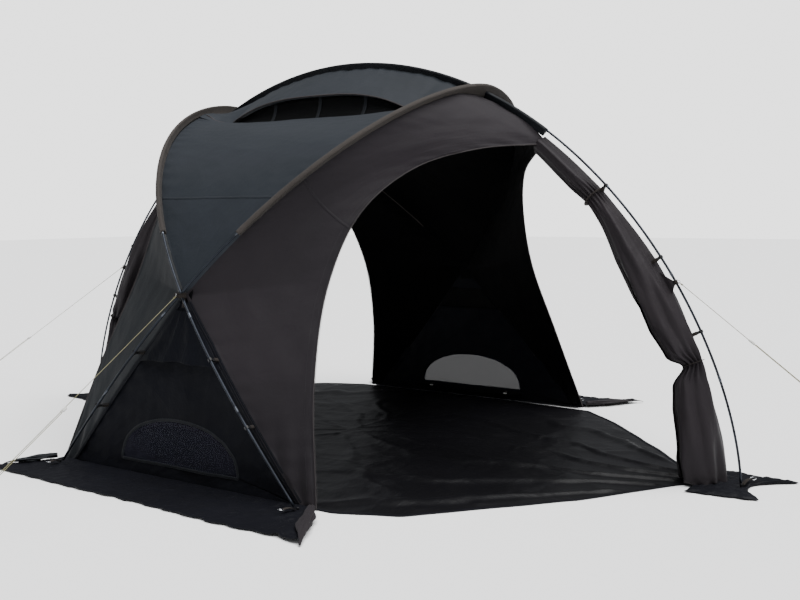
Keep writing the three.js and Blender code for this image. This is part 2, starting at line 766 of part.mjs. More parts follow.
const RUNNER_HALF = { wide: 5, deep: 3 };
function runnerAt(at, axis, level) {
  const { wide, deep } = RUNNER_HALF;
  const shape = outline([
    [-wide, -deep],
    [wide, -deep],
    [wide, deep],
    [-wide, deep],
  ]);
  shape.holes.push(disc(ROPE_R + 0.7, 8));
  const body = new THREE.ExtrudeGeometry(shape, { depth: RUNNER_LENGTH, bevelEnabled: false });
  const up = new THREE.Vector3().crossVectors(axis, level);
  const place = new THREE.Matrix4().makeBasis(level, up, axis).setPosition(at);
  return body.translate(0, 0, -RUNNER_LENGTH / 2).applyMatrix4(place);
}

poles();
sleeves();
roof();
ridgeCap();
doorPanels();
walls();
ground();
bundles();
clips();
bands();
guys();

export default shelter;
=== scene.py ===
# %% [markdown]
# # A dome camping shelter
# Two leaning hoops cross on each side wall, and a ridge pole runs over both. Dark cloth hangs from
# them in sleeves and on clips. This script gives the shelter its looks: the frame that it loads
# holds every part at its real place and size, and each cell makes one piece of cloth, pole or cord.

# %% Load the frame
import math
import bmesh
import bpy
import numpy as np
from mathutils import Matrix, Vector


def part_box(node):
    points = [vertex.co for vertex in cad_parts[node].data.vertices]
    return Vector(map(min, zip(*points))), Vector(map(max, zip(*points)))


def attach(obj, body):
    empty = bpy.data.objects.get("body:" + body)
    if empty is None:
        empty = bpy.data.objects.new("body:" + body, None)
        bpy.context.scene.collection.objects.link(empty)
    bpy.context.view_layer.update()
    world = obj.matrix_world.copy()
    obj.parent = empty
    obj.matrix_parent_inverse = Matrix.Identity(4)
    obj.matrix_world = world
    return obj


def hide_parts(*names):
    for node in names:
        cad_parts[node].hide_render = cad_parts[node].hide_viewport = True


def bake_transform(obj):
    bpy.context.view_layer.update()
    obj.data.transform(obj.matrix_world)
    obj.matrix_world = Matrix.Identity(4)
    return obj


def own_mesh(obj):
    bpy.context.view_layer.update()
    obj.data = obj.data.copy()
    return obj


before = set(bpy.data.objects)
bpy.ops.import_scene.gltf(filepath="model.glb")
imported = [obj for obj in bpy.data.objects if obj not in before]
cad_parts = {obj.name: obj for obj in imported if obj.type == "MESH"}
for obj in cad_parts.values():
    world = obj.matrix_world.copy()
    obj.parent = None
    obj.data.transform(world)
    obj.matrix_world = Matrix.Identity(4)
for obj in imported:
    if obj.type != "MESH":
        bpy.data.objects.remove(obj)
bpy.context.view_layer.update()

# %% [markdown]
# ## The sizes that drive the shelter
# A tent is designed from the lines of its poles, and its cloth is cut to meet them. The same few
# sizes and curves that drive the frame are set down here in metres, so that every cloth, seam and
# cord is worked out from the pole lines instead of being placed by hand.

# %% Driving sizes
RIDGE_REACH, RIDGE_HEIGHT = 2.296, 2.150
HOOP_REACH, HOOP_FOOT, HOOP_LEAN = 1.453, 0.805, 0.931
RIDGE_SPREAD, RIDGE_RISE, HOOP_SPREAD, HOOP_RISE = 1.988, 1.649, 1.78, 2.66
POLE_R, POLE_GAP, TIP_R = 0.006, 0.0015, 0.004
SLEEVE_R, CLEAR, CLOTH = 0.017, 0.0015, 0.0012
TAB, DOOR_TAB, SHOULDER = 0.060, 0.036, 0.850
SLEEVE_START, RIDGE_SLEEVE_REACH = 1.210, 1.275
CAP_HALF, ROOF_EDGE, ROOF_SAG, LIP_LIFT, VENT_REACH = 0.300, 0.330, 0.085, 0.062, 0.640
WINDOW_HALF, WINDOW_LOW, WINDOW_HIGH = 0.396, 0.076, 0.304
HOOD_HEM, VENT_LOW, VENT_HIGH = 0.575, 0.630, 0.770
PANEL_LOW, ARCH_SHARE = 0.009, 0.88
ROPE_HEIGHTS = {"front": 0.960, "back": 0.930}
UNDER_SLEEVE = SLEEVE_R + POLE_R + POLE_GAP + CLEAR
UNDER_CROSSING = UNDER_SLEEVE + 0.004
RIDGE_DIP, DIP_REACH = 2 * SLEEVE_R + 5 * CLEAR, 0.260
SIDES = {"left": -1, "right": 1}
ENDS = {"front": -1, "back": 1}
MIDDLE, FAR_BELOW = (0, 0, 0.6), (0, 0, -9)


def ridge_height(y):
    share = np.minimum(1, np.abs(np.asarray(y, float) / RIDGE_REACH))
    return RIDGE_HEIGHT * (1 - share**RIDGE_SPREAD) ** (1 / RIDGE_RISE)


def ridge_reach(z):
    share = np.asarray(z, float) / RIDGE_HEIGHT
    return RIDGE_REACH * (1 - share**RIDGE_RISE) ** (1 / RIDGE_SPREAD)


HOOP_HEIGHT = float(ridge_height(HOOP_LEAN)) + 2 * SLEEVE_R + 4 * CLEAR


def hoop_half(z, reach=HOOP_REACH):
    share = np.minimum(1, np.asarray(z, float) / HOOP_HEIGHT)
    return reach * (1 - share**HOOP_RISE) ** (1 / HOOP_SPREAD)


def hoop_along(z):
    return HOOP_FOOT - (HOOP_FOOT + HOOP_LEAN) * np.asarray(z, float) / HOOP_HEIGHT


def hoop_height(x, reach=HOOP_REACH):
    share = np.minimum(1, np.abs(np.asarray(x, float) / reach))
    return HOOP_HEIGHT * (1 - share**HOOP_SPREAD) ** (1 / HOOP_RISE)


CROSS_Z = HOOP_FOOT / (HOOP_FOOT + HOOP_LEAN) * HOOP_HEIGHT
CROSS_X = float(hoop_half(CROSS_Z))
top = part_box("back_foot_hoop_sleeve")[1]
print("hoop top by rule and by frame:", round(HOOP_HEIGHT + SLEEVE_R, 3), round(top[2], 3))

# %% [markdown]
# ## Where the cloth runs
# On a bare leg the cloth is held off the pole by short straps. Higher up it hangs close under the
# pole's sleeve. So the edge of every cloth is the pole's line moved inwards by a distance that
# changes with the height. Where the ridge pole passes below the hoops the edge dips under it too.

# %% Lines that the cloth follows
def unit(v):
    return v / np.maximum(np.linalg.norm(v, axis=-1, keepdims=True), 1e-12)


def points(x, y, z):
    return np.stack(np.broadcast_arrays(np.asarray(x, float), y, z), -1)


def inward(p):
    down = -np.maximum(0, p[..., 2] - SHOULDER)
    return unit(points(-p[..., 0], -p[..., 1] / 2, down))


def inset(z, x):
    heights = [0, 0.75 * CROSS_Z, CROSS_Z, SLEEVE_START]
    base = np.interp(z, heights, [TAB, TAB, UNDER_CROSSING, UNDER_SLEEVE])
    return base + RIDGE_DIP * np.maximum(0, 1 - np.abs(x) / DIP_REACH)


def edge_at(x, z, end):
    p = points(x, end * hoop_along(z), z)
    return p + inward(p) * inset(z, x)[..., None]


def edge_at_height(z, side, end):
    return edge_at(side * hoop_half(z), np.asarray(z, float), end)


def edge_across(x, end):
    x = np.asarray(x, float)
    return edge_at(x, hoop_height(x), end)


def distance_along(line):
    """How far each point of a line lies from its start."""
    return np.concatenate([[0], np.cumsum(np.linalg.norm(np.diff(line, axis=0), axis=1))])


def resample(line, count):
    """The same line as count points at equal steps."""
    along = distance_along(line)
    at = np.linspace(0, along[-1], count)
    return np.stack([np.interp(at, along, line[:, k]) for k in range(3)], -1)


def length_of(line):
    return float(np.linalg.norm(np.diff(line, axis=0), axis=1).sum())


print("crossing of the hoops at", round(CROSS_X, 3), round(CROSS_Z, 3))

# %% [markdown]
# ## The camera
# The camera stands outside the shelter's left front corner at about the height of a person's
# chest, a little above the middle of the shelter, and looks slightly down with a normal lens.

# %% Camera
ahead = Vector((0.8196, 0.5663, -0.0871)).normalized()
right = ahead.cross(Vector((0, 0, 1))).normalized()
up = right.cross(ahead)
roll = -0.0065
turned_right = right * math.cos(roll) + up * math.sin(roll)
turned_up = up * math.cos(roll) - right * math.sin(roll)
camera_data = bpy.data.cameras.new("camera")
camera_data.lens, camera_data.sensor_width = 46.1, 36
camera_data.clip_end = 100
camera = bpy.data.objects.new("camera", camera_data)
bpy.context.collection.objects.link(camera)
turn = Matrix((turned_right, turned_up, -ahead)).transposed()
camera.matrix_world = Matrix.Translation((-4.789, -3.665, 1.312)) @ turn.to_4x4()
bpy.context.scene.camera = camera
print("camera at", [round(c, 2) for c in camera.location])

# %% [markdown]
# ## Making a mesh from rows of points
# Cloth is given by a rule: two numbers that run over the flat cut give a point in the air. A grid
# of such points, with a second layer one cloth's thickness further in and a rim between the two,
# is a closed thin shell, which renders and exports better than a bare surface. Solidify would do
# the same as a modifier, but building the layers here keeps the hems even at sharp corners.
# Each point also keeps its place on the cut, in metres, as its UV, for weave and folds to follow.

# %% Mesh helpers
def mesh_piece(name, verts, faces, uv=None):
    mesh = bpy.data.meshes.new(name)
    mesh.from_pydata([tuple(v) for v in np.asarray(verts).tolist()], [], faces)
    if uv is not None:
        layer = mesh.uv_layers.new(name="cut")
        corner = np.empty(len(mesh.loops), dtype=np.int64)
        mesh.loops.foreach_get("vertex_index", corner)
        layer.data.foreach_set("uv", np.asarray(uv, float)[corner].ravel())
    mesh.polygons.foreach_set("use_smooth", [True] * len(mesh.polygons))
    mesh.update()
    piece = bpy.data.objects.new(name, mesh)
    bpy.context.collection.objects.link(piece)
    return piece


def cut_uv(grid):
    """Metres across and along the cut, measured on the middle lines of the grid."""
    rows, cols = grid.shape[:2]
    u, v = distance_along(grid[:, cols // 2]), distance_along(grid[rows // 2])
    return np.stack(np.meshgrid(u, v, indexing="ij"), -1)


def grid_normals(grid):
    return unit(np.cross(np.gradient(grid, axis=0), np.gradient(grid, axis=1)))


def facing_out(grid, centre=MIDDLE):
    """The normals of a grid, each turned away from centre."""
    normals = grid_normals(grid)
    return normals * np.sign((normals * (grid - np.array(centre))).sum(-1))[..., None]


def between(low, high, shares):
    """A grid of straight threads from one line to another, with points at the given shares."""
    return low[:, None] + (high - low)[:, None] * shares[None, :, None]


def shell(name, grid, thickness=CLOTH, centre=MIDDLE):
    """A cloth through a grid of points. Its outer side is the one that faces away from centre."""
    rows, cols = grid.shape[:2]
    normals = grid_normals(grid)
    outward = float((normals * (grid - np.array(centre))).sum(-1).mean()) > 0
    if not outward:
        grid, normals = grid[::-1], -normals[::-1]
    uv = cut_uv(grid)
    verts = np.concatenate([grid.reshape(-1, 3), (grid - normals * thickness).reshape(-1, 3)])
    at = np.arange(2 * rows * cols).reshape(2, rows, cols)
    quads = np.stack([at[:, :-1, :-1], at[:, 1:, :-1], at[:, 1:, 1:], at[:, :-1, 1:]], -1)
    faces = [*quads[0].reshape(-1, 4).tolist(), *quads[1][..., ::-1].reshape(-1, 4).tolist()]
    first, last = 0, -1
    rims = [
        (at[0, :, first], at[1, :, first]),
        (at[0, last, :], at[1, last, :]),
        (at[0, ::-1, last], at[1, ::-1, last]),
        (at[0, first, ::-1], at[1, first, ::-1]),
    ]
    for outer, inner in rims:
        side = np.stack([outer[:-1], inner[:-1], inner[1:], outer[1:]], -1)
        faces += side.tolist()
    return mesh_piece(name, verts, faces, np.concatenate([uv.reshape(-1, 2)] * 2))


def carried(path, start):
    """Unit directions square to a path, carried along it without twisting."""
    tangents = unit(np.gradient(path, axis=0))
    across = [unit(np.asarray(start, float) - np.dot(start, tangents[0]) * tangents[0])]
    for t in tangents[1:]:
        v = across[-1] - np.dot(across[-1], t) * t
        across.append(unit(v))
    return np.array(across)


def tube_faces(rows, sides):
    """Quads round a row of rings, and a cap at each end."""
    at = np.arange(rows * sides).reshape(rows, sides)
    turned = np.roll(at, -1, axis=1)
    quads = np.stack([at[:-1], turned[:-1], turned[1:], at[1:]], -1).reshape(-1, 4).tolist()
    return quads + [at[0, ::-1].tolist(), at[-1].tolist()]


def sweep(name, path, section, out):
    """A section of (across, out) points along a path. out is one direction, or one per point."""
    path = np.asarray(path, float)
    out = np.broadcast_to(np.asarray(out, float), path.shape)
    tangents = unit(np.gradient(path, axis=0))
    out = unit(out - (out * tangents).sum(-1, keepdims=True) * tangents)
    across = np.cross(out, tangents)
    section = np.asarray(section, float)
    if section.ndim == 2:
        section = np.broadcast_to(section, (len(path), *section.shape))
    rings = path[:, None] + across[:, None] * section[..., :1] + out[:, None] * section[..., 1:]
    steps = distance_along(path)
    around = np.linalg.norm(np.diff(section[0], axis=0, prepend=section[0][-1:]), axis=1).cumsum()
    uv = np.stack(np.meshgrid(steps, around, indexing="ij"), -1).reshape(-1, 2)
    piece = mesh_piece(name, rings.reshape(-1, 3), tube_faces(*rings.shape[:2]), uv)
    for face in piece.data.polygons[-2:]:
        face.use_smooth = False
    return piece


def ring_section(radius, sides=16, flat=1.0):
    angle = np.arange(sides) * 2 * np.pi / sides
    return np.stack([radius * np.cos(angle), radius * flat * np.sin(angle)], -1)


def tape_section(width, thickness):
    w, t = width / 2, thickness / 2
    c = t * 0.6
    corners = [(-w, -t + c), (-w + c, -t), (w - c, -t), (w, -t + c)]
    return np.array(corners + [(-x, -y) for x, y in corners])


print("mesh helpers ready")

# %% [markdown]
# ## Slack and creases
# Thin coated cloth is never smooth. It has long soft waves where it is slack, and short sharp
# puckers that start at a seam and die away. A sum of sine waves with fixed seeds gives the soft
# waves, and its folded form, with the valleys kept sharp, gives creases.

# %% Waves and creases
def waves(x, y, size, seed, creased=False, octaves=3):
    """Smooth waves of about the given size, from -1 to 1, or creases from 0 to 1."""
    rng = np.random.default_rng(seed)
    total, weight = 0.0, 0.0
    for k in range(octaves):
        for _ in range(4):
            angle, phase = rng.uniform(0, 2 * np.pi, 2)
            pace = 2 * np.pi / size * 1.9**k * rng.uniform(0.7, 1.3)
            wave = np.sin(pace * (x * np.cos(angle) + y * np.sin(angle)) + phase)
            share = 0.55**k
            total = total + share * ((1 - np.abs(wave)) ** 2 if creased else wave)
            weight += share
    return total / weight * (1 if creased else 1.8)


def puckers(along, away, pitch, reach, seed):
    """Short waves across a seam: along it by the given pitch, dying away from it."""
    rng = np.random.default_rng(seed)
    drift = waves(along, away * 0.3, 8 * pitch, seed + 1)
    wave = np.sin(2 * np.pi * along / pitch + 2.5 * drift + rng.uniform(0, 6))
    return wave * np.exp(-away / reach) * (0.6 + 0.4 * waves(along, 0 * along, 4 * pitch, seed + 2))


def smoothstep(x, low, high):
    t = np.clip((x - low) / (high - low), 0, 1)
    return t * t * (3 - 2 * t)


def patch(rows, cols):
    return np.meshgrid(np.linspace(0, 1, rows), np.linspace(0, 1, cols), indexing="ij")


print("waves ready")

# %% [markdown]
# ## Effects that several finishes share
# Coated taffeta has a plain weave that is finer than half a millimetre, a slow drift of shade
# where the coating is thicker, fine creases from the bag that it was packed in, and dust low
# down. Each of these is a shader group with its own inputs, so that every cloth can use it with
# its own strength. The groups give only colours, masks and heights: the shader stays outside.

# %% Shader group helpers
def new_group(name, inputs, outputs):
    group = bpy.data.node_groups.new(name, "ShaderNodeTree")
    for label, kind, value in inputs:
        socket = group.interface.new_socket(label, in_out="INPUT", socket_type=kind)
        if value is not None:
            socket.default_value = value
    for label, kind in outputs:
        group.interface.new_socket(label, in_out="OUTPUT", socket_type=kind)
    return group, group.nodes.new("NodeGroupInput"), group.nodes.new("NodeGroupOutput")


def feed(tree, socket, value):
    """Join a socket to another socket, or set its value."""
    if hasattr(value, "links"):
        tree.links.new(value, socket)
    else:
        socket.default_value = value


def math_node(tree, kind, a, b=None, c=None, clamp=False):
    node = tree.nodes.new("ShaderNodeMath")
    node.operation, node.use_clamp = kind, clamp
    for socket, value in zip(node.inputs, (a, b, c)):
        if value is not None:
            feed(tree, socket, value)
    return node.outputs[0]


def mix_node(tree, factor, low, high):
    node = tree.nodes.new("ShaderNodeMix")
    node.data_type = "RGBA"
    for label, value in (("Factor", factor), ("A", low), ("B", high)):
        feed(tree, node.inputs[label], value)
    return node.outputs["Result"]


def bump_node(tree, height, strength, distance):
    node = tree.nodes.new("ShaderNodeBump")
    node.inputs["Strength"].default_value = strength
    node.inputs["Distance"].default_value = distance
    tree.links.new(height, node.inputs["Height"])
    return node


def noise_node(tree, vector, scale, detail=3.0, roughness=0.55):
    node = tree.nodes.new("ShaderNodeTexNoise")
    tree.links.new(vector, node.inputs["Vector"])
    feed(tree, node.inputs["Scale"], scale)
    node.inputs["Detail"].default_value = detail
    node.inputs["Roughness"].default_value = roughness
    return node.outputs["Fac"]


FLOAT, VECTOR, COLOR = "NodeSocketFloat", "NodeSocketVector", "NodeSocketColor"

# %% Weave, packing creases, dust and shade
def weave_group():
    group, given, out = new_group(
        "plain_weave",
        [("Cut", VECTOR, None), ("Threads per metre", FLOAT, 1600.0)],
        [("Height", FLOAT), ("Thread", FLOAT)],
    )
    split = group.nodes.new("ShaderNodeSeparateXYZ")
    group.links.new(given.outputs["Cut"], split.inputs[0])
    rows = []
    for axis in ("X", "Y"):
        turns = math_node(group, "MULTIPLY", split.outputs[axis], given.outputs[1])
        angle = math_node(group, "MULTIPLY", turns, math.pi)
        rows.append(math_node(group, "SINE", angle))
    over = math_node(group, "MULTIPLY", rows[0], rows[1])
    height = math_node(group, "MULTIPLY_ADD", over, 0.5, 0.5)
    group.links.new(height, out.inputs["Height"])
    slub = noise_node(group, given.outputs["Cut"], 260.0, 1.0)
    group.links.new(slub, out.inputs["Thread"])
    return group


def crease_group():
    group, given, out = new_group(
        "packing_creases",
        [("Place", VECTOR, None), ("Size", FLOAT, 6.0)],
        [("Height", FLOAT)],
    )
    drift = group.nodes.new("ShaderNodeTexNoise")
    drift.inputs["Scale"].default_value = 2.0
    drift.inputs["Detail"].default_value = 2.0
    group.links.new(given.outputs["Place"], drift.inputs["Vector"])
    mix = group.nodes.new("ShaderNodeVectorMath")
    mix.operation = "MULTIPLY_ADD"
    mix.inputs[1].default_value = (0.35, 0.35, 0.35)
    group.links.new(drift.outputs["Color"], mix.inputs[0])
    group.links.new(given.outputs["Place"], mix.inputs[2])
    cells = group.nodes.new("ShaderNodeTexVoronoi")
    cells.feature = "F1"
    cells.distance = "EUCLIDEAN"
    group.links.new(mix.outputs[0], cells.inputs["Vector"])
    group.links.new(given.outputs["Size"], cells.inputs["Scale"])
    soft = noise_node(group, mix.outputs[0], 9.0, 4.0, 0.6)
    both = math_node(group, "ADD", cells.outputs["Distance"], soft)
    group.links.new(both, out.inputs["Height"])
    return group


def dust_group():
    group, given, out = new_group(
        "ground_dust",
        [("Place", VECTOR, None), ("Reach", FLOAT, 0.25)],
        [("Mask", FLOAT)],
    )
    split = group.nodes.new("ShaderNodeSeparateXYZ")
    group.links.new(given.outputs["Place"], split.inputs[0])
    height = math_node(group, "DIVIDE", split.outputs["Z"], given.outputs["Reach"])
    low = math_node(group, "SUBTRACT", 1.0, height, clamp=True)
    spots = noise_node(group, given.outputs["Place"], 14.0, 6.0, 0.7)
    uneven = math_node(group, "MULTIPLY", low, spots)
    group.links.new(math_node(group, "MULTIPLY", uneven, low, clamp=True), out.inputs["Mask"])
    return group


def shade_group():
    group, given, out = new_group(
        "coating_shade",
        [("Place", VECTOR, None), ("Low", COLOR, None), ("High", COLOR, None), ("Size", FLOAT, 1.2)],
        [("Color", COLOR), ("Amount", FLOAT)],
    )
    drift = noise_node(group, given.outputs["Place"], given.outputs["Size"], 5.0, 0.5)
    ramp = group.nodes.new("ShaderNodeMapRange")
    ramp.inputs["From Min"].default_value = 0.35
    ramp.inputs["From Max"].default_value = 0.65
    group.links.new(drift, ramp.inputs["Value"])
    mix = mix_node(group, ramp.outputs["Result"], given.outputs["Low"], given.outputs["High"])
    group.links.new(mix, out.inputs["Color"])
    group.links.new(ramp.outputs["Result"], out.inputs["Amount"])
    return group


WEAVE, CREASES, DUST, SHADE = weave_group(), crease_group(), dust_group(), shade_group()
print("shader groups:", [g.name for g in (WEAVE, CREASES, DUST, SHADE)])

# %% [markdown]
# ## The cloths
# All the cloths are thin polyester with a coating, so one recipe makes them all: two shades that
# drift into each other, a low sheen, roughness that follows the threads, and a bump made of weave
# and creases. They differ in colour, in gloss and in how creased they are.

# %% Cloth finishes
DUST_COLOUR = (0.060, 0.052, 0.044, 1)
CREASE_DEPTH, WEAVE_DEPTH = 0.012, 0.0004


def start_material(name):
    material = bpy.data.materials.new(name)
    material.use_nodes = True
    tree = material.node_tree
    shader = tree.nodes["Principled BSDF"]
    place = tree.nodes.new("ShaderNodeTexCoord")
    return material, tree, shader, place


def use_group(tree, group, **values):
    node = tree.nodes.new("ShaderNodeGroup")
    node.node_tree = group
    for label, value in values.items():
        feed(tree, node.inputs[label.replace("_", " ")], value)
    return node


def cloth_material(name, low, high, rough=0.75, sheen=0.0, creases=0.3, weave=0.15, dust=0.25,
                   crease_size=6.0, gloss=0.12):
    material, tree, shader, place = start_material(name)
    where, cut = place.outputs["Object"], place.outputs["UV"]
    shade = use_group(tree, SHADE, Place=where, Low=(*low, 1), High=(*high, 1))
    thread = use_group(tree, WEAVE, Cut=cut)
    fold = use_group(tree, CREASES, Place=where, Size=crease_size)
    dusty = use_group(tree, DUST, Place=where)
    worn = math_node(tree, "MULTIPLY", dusty.outputs["Mask"], dust)
    colour = mix_node(tree, worn, shade.outputs["Color"], DUST_COLOUR)
    tree.links.new(colour, shader.inputs["Base Color"])
    spread = math_node(tree, "MULTIPLY_ADD", thread.outputs["Thread"], 0.16, rough - 0.08)
    tree.links.new(spread, shader.inputs["Roughness"])
    shader.inputs["Sheen Weight"].default_value = sheen
    shader.inputs["Sheen Roughness"].default_value = 0.5
    shader.inputs["Specular IOR Level"].default_value = gloss
    soft = bump_node(tree, fold.outputs["Height"], creases, CREASE_DEPTH)
    fine = bump_node(tree, thread.outputs["Height"], weave, WEAVE_DEPTH)
    tree.links.new(soft.outputs["Normal"], fine.inputs["Normal"])
    tree.links.new(fine.outputs["Normal"], shader.inputs["Normal"])
    return material


roof_finish = cloth_material("roof_taffeta", (0.0085, 0.0112, 0.0150), (0.0125, 0.0155, 0.0205),
                             rough=0.62, sheen=0.03, creases=0.25, dust=0.0)
panel_finish = cloth_material("door_surround_taffeta", (0.0092, 0.0077, 0.0096),
                              (0.0140, 0.0116, 0.0140), rough=0.66, sheen=0.03, creases=0.22,
                              dust=0.10)
# The back surrounds are the same cloth as the front ones, in a darker and greener copy: painted shade,
# as they face away from the light.
painted_shade_back_panel_finish = cloth_material("back_surround_taffeta_painted_shade", (0.0058, 0.0070, 0.0086),
                                   (0.0080, 0.0096, 0.0118), rough=0.66, sheen=0.02, creases=0.22,
                                   dust=0.05)
gathered_finish = cloth_material("gathered_taffeta", (0.0100, 0.0085, 0.0105),
                                 (0.0160, 0.0130, 0.0150), rough=0.55, sheen=0.03, creases=0.4,
                                 dust=0.10, crease_size=9.0)
wall_finish = cloth_material("wall_taffeta", (0.0018, 0.0021, 0.0036), (0.0034, 0.0038, 0.0062),
                             rough=0.60, sheen=0.01, creases=0.35, dust=0.04, gloss=0.06)
# This near-black copy of the dark cloth is painted shade: it goes on the faces inside the shelter, on
# the rolled window flaps and on the peak patches.
inside_painted_shade_finish = cloth_material("near_black_painted_shade", (0.0010, 0.0011, 0.0013), (0.0020, 0.0021, 0.0025),
                               rough=0.65, sheen=0.0, creases=0.3, dust=0.02, gloss=0.04)
skirt_finish = cloth_material("skirt_taffeta", (0.0012, 0.0015, 0.0032), (0.0030, 0.0034, 0.0060),
                              rough=0.50, sheen=0.01, creases=0.7, dust=0.05, crease_size=12.0,
                              gloss=0.08)
sheet_finish = cloth_material("ground_sheet_coating", (0.0014, 0.0014, 0.0021),
                              (0.0028, 0.0027, 0.0038), rough=0.42, sheen=0.0, creases=0.5,
                              weave=0.05, dust=0.02, crease_size=5.0, gloss=0.16)
sleeve_finish = cloth_material("sleeve_cloth", (0.027, 0.0235, 0.0215), (0.038, 0.0330, 0.0300),
                               rough=0.8, sheen=0.04, creases=0.3, weave=0.4, dust=0.0)
ridge_sleeve_finish = cloth_material("ridge_sleeve_cloth", (0.0040, 0.0050, 0.0066),
                                     (0.0070, 0.0082, 0.0105), rough=0.6, sheen=0.03, creases=0.3,
                                     dust=0.0)
webbing_finish = cloth_material("webbing", (0.012, 0.010, 0.009), (0.020, 0.016, 0.014), rough=0.8,
                                sheen=0.03, creases=0.1, weave=0.9, dust=0.08)
binding_finish = cloth_material("binding_tape", (0.022, 0.019, 0.020), (0.036, 0.031, 0.032),
                                rough=0.6, sheen=0.06, creases=0.1, weave=0.7, dust=0.04)
print("cloth finishes made")

# %% [markdown]
# ## Mesh, metal, plastic and cord
# The windows' insect mesh lets a fifth of the light through. The vents' mesh is near black and lets next
# to none through, painted shade for the dark slots behind it. Threads are too fine to be seen from a few
# steps away, so the holes are an alpha. The poles are anodised tube with fine scratches along them, the
# clips and tips are moulded, and the rope is braided.

# %% Other finishes
def mesh_material(name, colour, cover):
    material, tree, shader, place = start_material(name)
    thread = use_group(tree, WEAVE, Cut=place.outputs["UV"], Threads_per_metre=700.0)
    hole = math_node(tree, "MULTIPLY_ADD", thread.outputs["Thread"], 0.04, cover - 0.02)
    tree.links.new(hole, shader.inputs["Alpha"])
    shade = use_group(tree, SHADE, Place=place.outputs["Object"], Low=(*colour, 1),
                      High=(*(1.4 * c for c in colour), 1))
    tree.links.new(shade.outputs["Color"], shader.inputs["Base Color"])
    shader.inputs["Roughness"].default_value = 0.7
    shader.inputs["Specular IOR Level"].default_value = 0.08
    return material


def solid_material(name, low, high, rough, metal=0.0, grain=(1, 1, 1), grain_scale=90.0,
                   grain_depth=0.1, size=8.0):
    material, tree, shader, place = start_material(name)
    where = place.outputs["Object"]
    shade = use_group(tree, SHADE, Place=where, Low=(*low, 1), High=(*high, 1), Size=size)
    tree.links.new(shade.outputs["Color"], shader.inputs["Base Color"])
    stretch = tree.nodes.new("ShaderNodeMapping")
    stretch.inputs["Scale"].default_value = grain
    tree.links.new(where, stretch.inputs["Vector"])
    fine = noise_node(tree, stretch.outputs["Vector"], grain_scale, 4.0, 0.6)
    worn = math_node(tree, "MULTIPLY_ADD", fine, 0.25, rough - 0.12)
    tree.links.new(worn, shader.inputs["Roughness"])
    shader.inputs["Metallic"].default_value = metal
    shader.inputs["Specular IOR Level"].default_value = 0.3
    bump = bump_node(tree, fine, grain_depth, 0.0005)
    tree.links.new(bump.outputs["Normal"], shader.inputs["Normal"])
    return material


ROPE_GIRTH = 0.0094


def rope_material(name, low, high, pitch):
    material, tree, shader, place = start_material(name)
    split = tree.nodes.new("ShaderNodeSeparateXYZ")
    tree.links.new(place.outputs["UV"], split.inputs[0])
    along = math_node(tree, "DIVIDE", split.outputs["X"], pitch)
    around = math_node(tree, "DIVIDE", split.outputs["Y"], ROPE_GIRTH)
    plaits = []
    for kind in ("ADD", "SUBTRACT"):
        turn = math_node(tree, kind, along, math_node(tree, "MULTIPLY", around, 4.0))
        plaits.append(math_node(tree, "SINE", math_node(tree, "MULTIPLY", turn, 2 * math.pi)))
    height = math_node(tree, "MULTIPLY", plaits[0], plaits[1])
    upper = math_node(tree, "MULTIPLY_ADD", height, 0.5, 0.5, clamp=True)
    # The braid's colour follows its height: darker in the valleys between the plaits, painted shade, and
    # lighter on the crests, painted highlight.
    tree.links.new(mix_node(tree, upper, (*low, 1), (*high, 1)), shader.inputs["Base Color"])
    shader.inputs["Roughness"].default_value = 0.75
    bump = bump_node(tree, height, 0.6, 0.0006)
    tree.links.new(bump.outputs["Normal"], shader.inputs["Normal"])
    return material


window_mesh_finish = mesh_material("window_mesh", (0.0075, 0.0077, 0.0130), 0.80)
# The vents' mesh is near black and almost opaque: painted shade for the slots under the cap's lip and
# under the hoods.
vent_mesh_painted_shade_finish = mesh_material("vent_mesh", (0.0010, 0.0011, 0.0013), 0.97)
pole_finish = solid_material("anodised_pole", (0.012, 0.014, 0.019), (0.024, 0.028, 0.037), 0.42, 0.7,
                             grain=(1, 1, 0.1), grain_scale=220.0, grain_depth=0.08)
ferrule_finish = solid_material("bare_ferrule", (0.05, 0.055, 0.065), (0.09, 0.10, 0.12), 0.35, 0.9,
                                grain=(1, 1, 0.1), grain_scale=220.0)
tip_finish = solid_material("moulded_tip", (0.004, 0.004, 0.005), (0.008, 0.008, 0.009), 0.5)
clip_finish = solid_material("moulded_clip", (0.003, 0.003, 0.0035), (0.006, 0.006, 0.007), 0.42)
runner_finish = solid_material("moulded_runner", (0.42, 0.42, 0.40), (0.58, 0.58, 0.55), 0.35)
steel_finish = solid_material("steel_ring", (0.35, 0.36, 0.38), (0.48, 0.49, 0.50), 0.3, 1.0)
rope_finish = rope_material("braided_rope", (0.10, 0.092, 0.045), (0.25, 0.23, 0.13), 0.006)
thread_finish = solid_material("sewing_thread", (0.020, 0.020, 0.023), (0.030, 0.030, 0.034), 0.7)
zip_finish = solid_material("zip_teeth", (0.012, 0.011, 0.011), (0.026, 0.023, 0.023), 0.4)
print("other finishes made")

# %% [markdown]
# ## Handing a piece to the frame
# Every piece gets one finish, says which body it moves with and which plain solids of the frame it
# stands for.

# %% Hand a piece over
def joined(first, *others):
    """The first piece with the others' meshes added to its own."""
    mesh = bmesh.new()
    for piece in (first, *others):
        mesh.from_mesh(piece.data)
    mesh.to_mesh(first.data)
    mesh.free()
    for piece in others:
        bpy.data.objects.remove(piece)
    return first


def dress(piece, finish):
    piece.data.materials.clear()
    piece.data.materials.append(finish)
    return piece


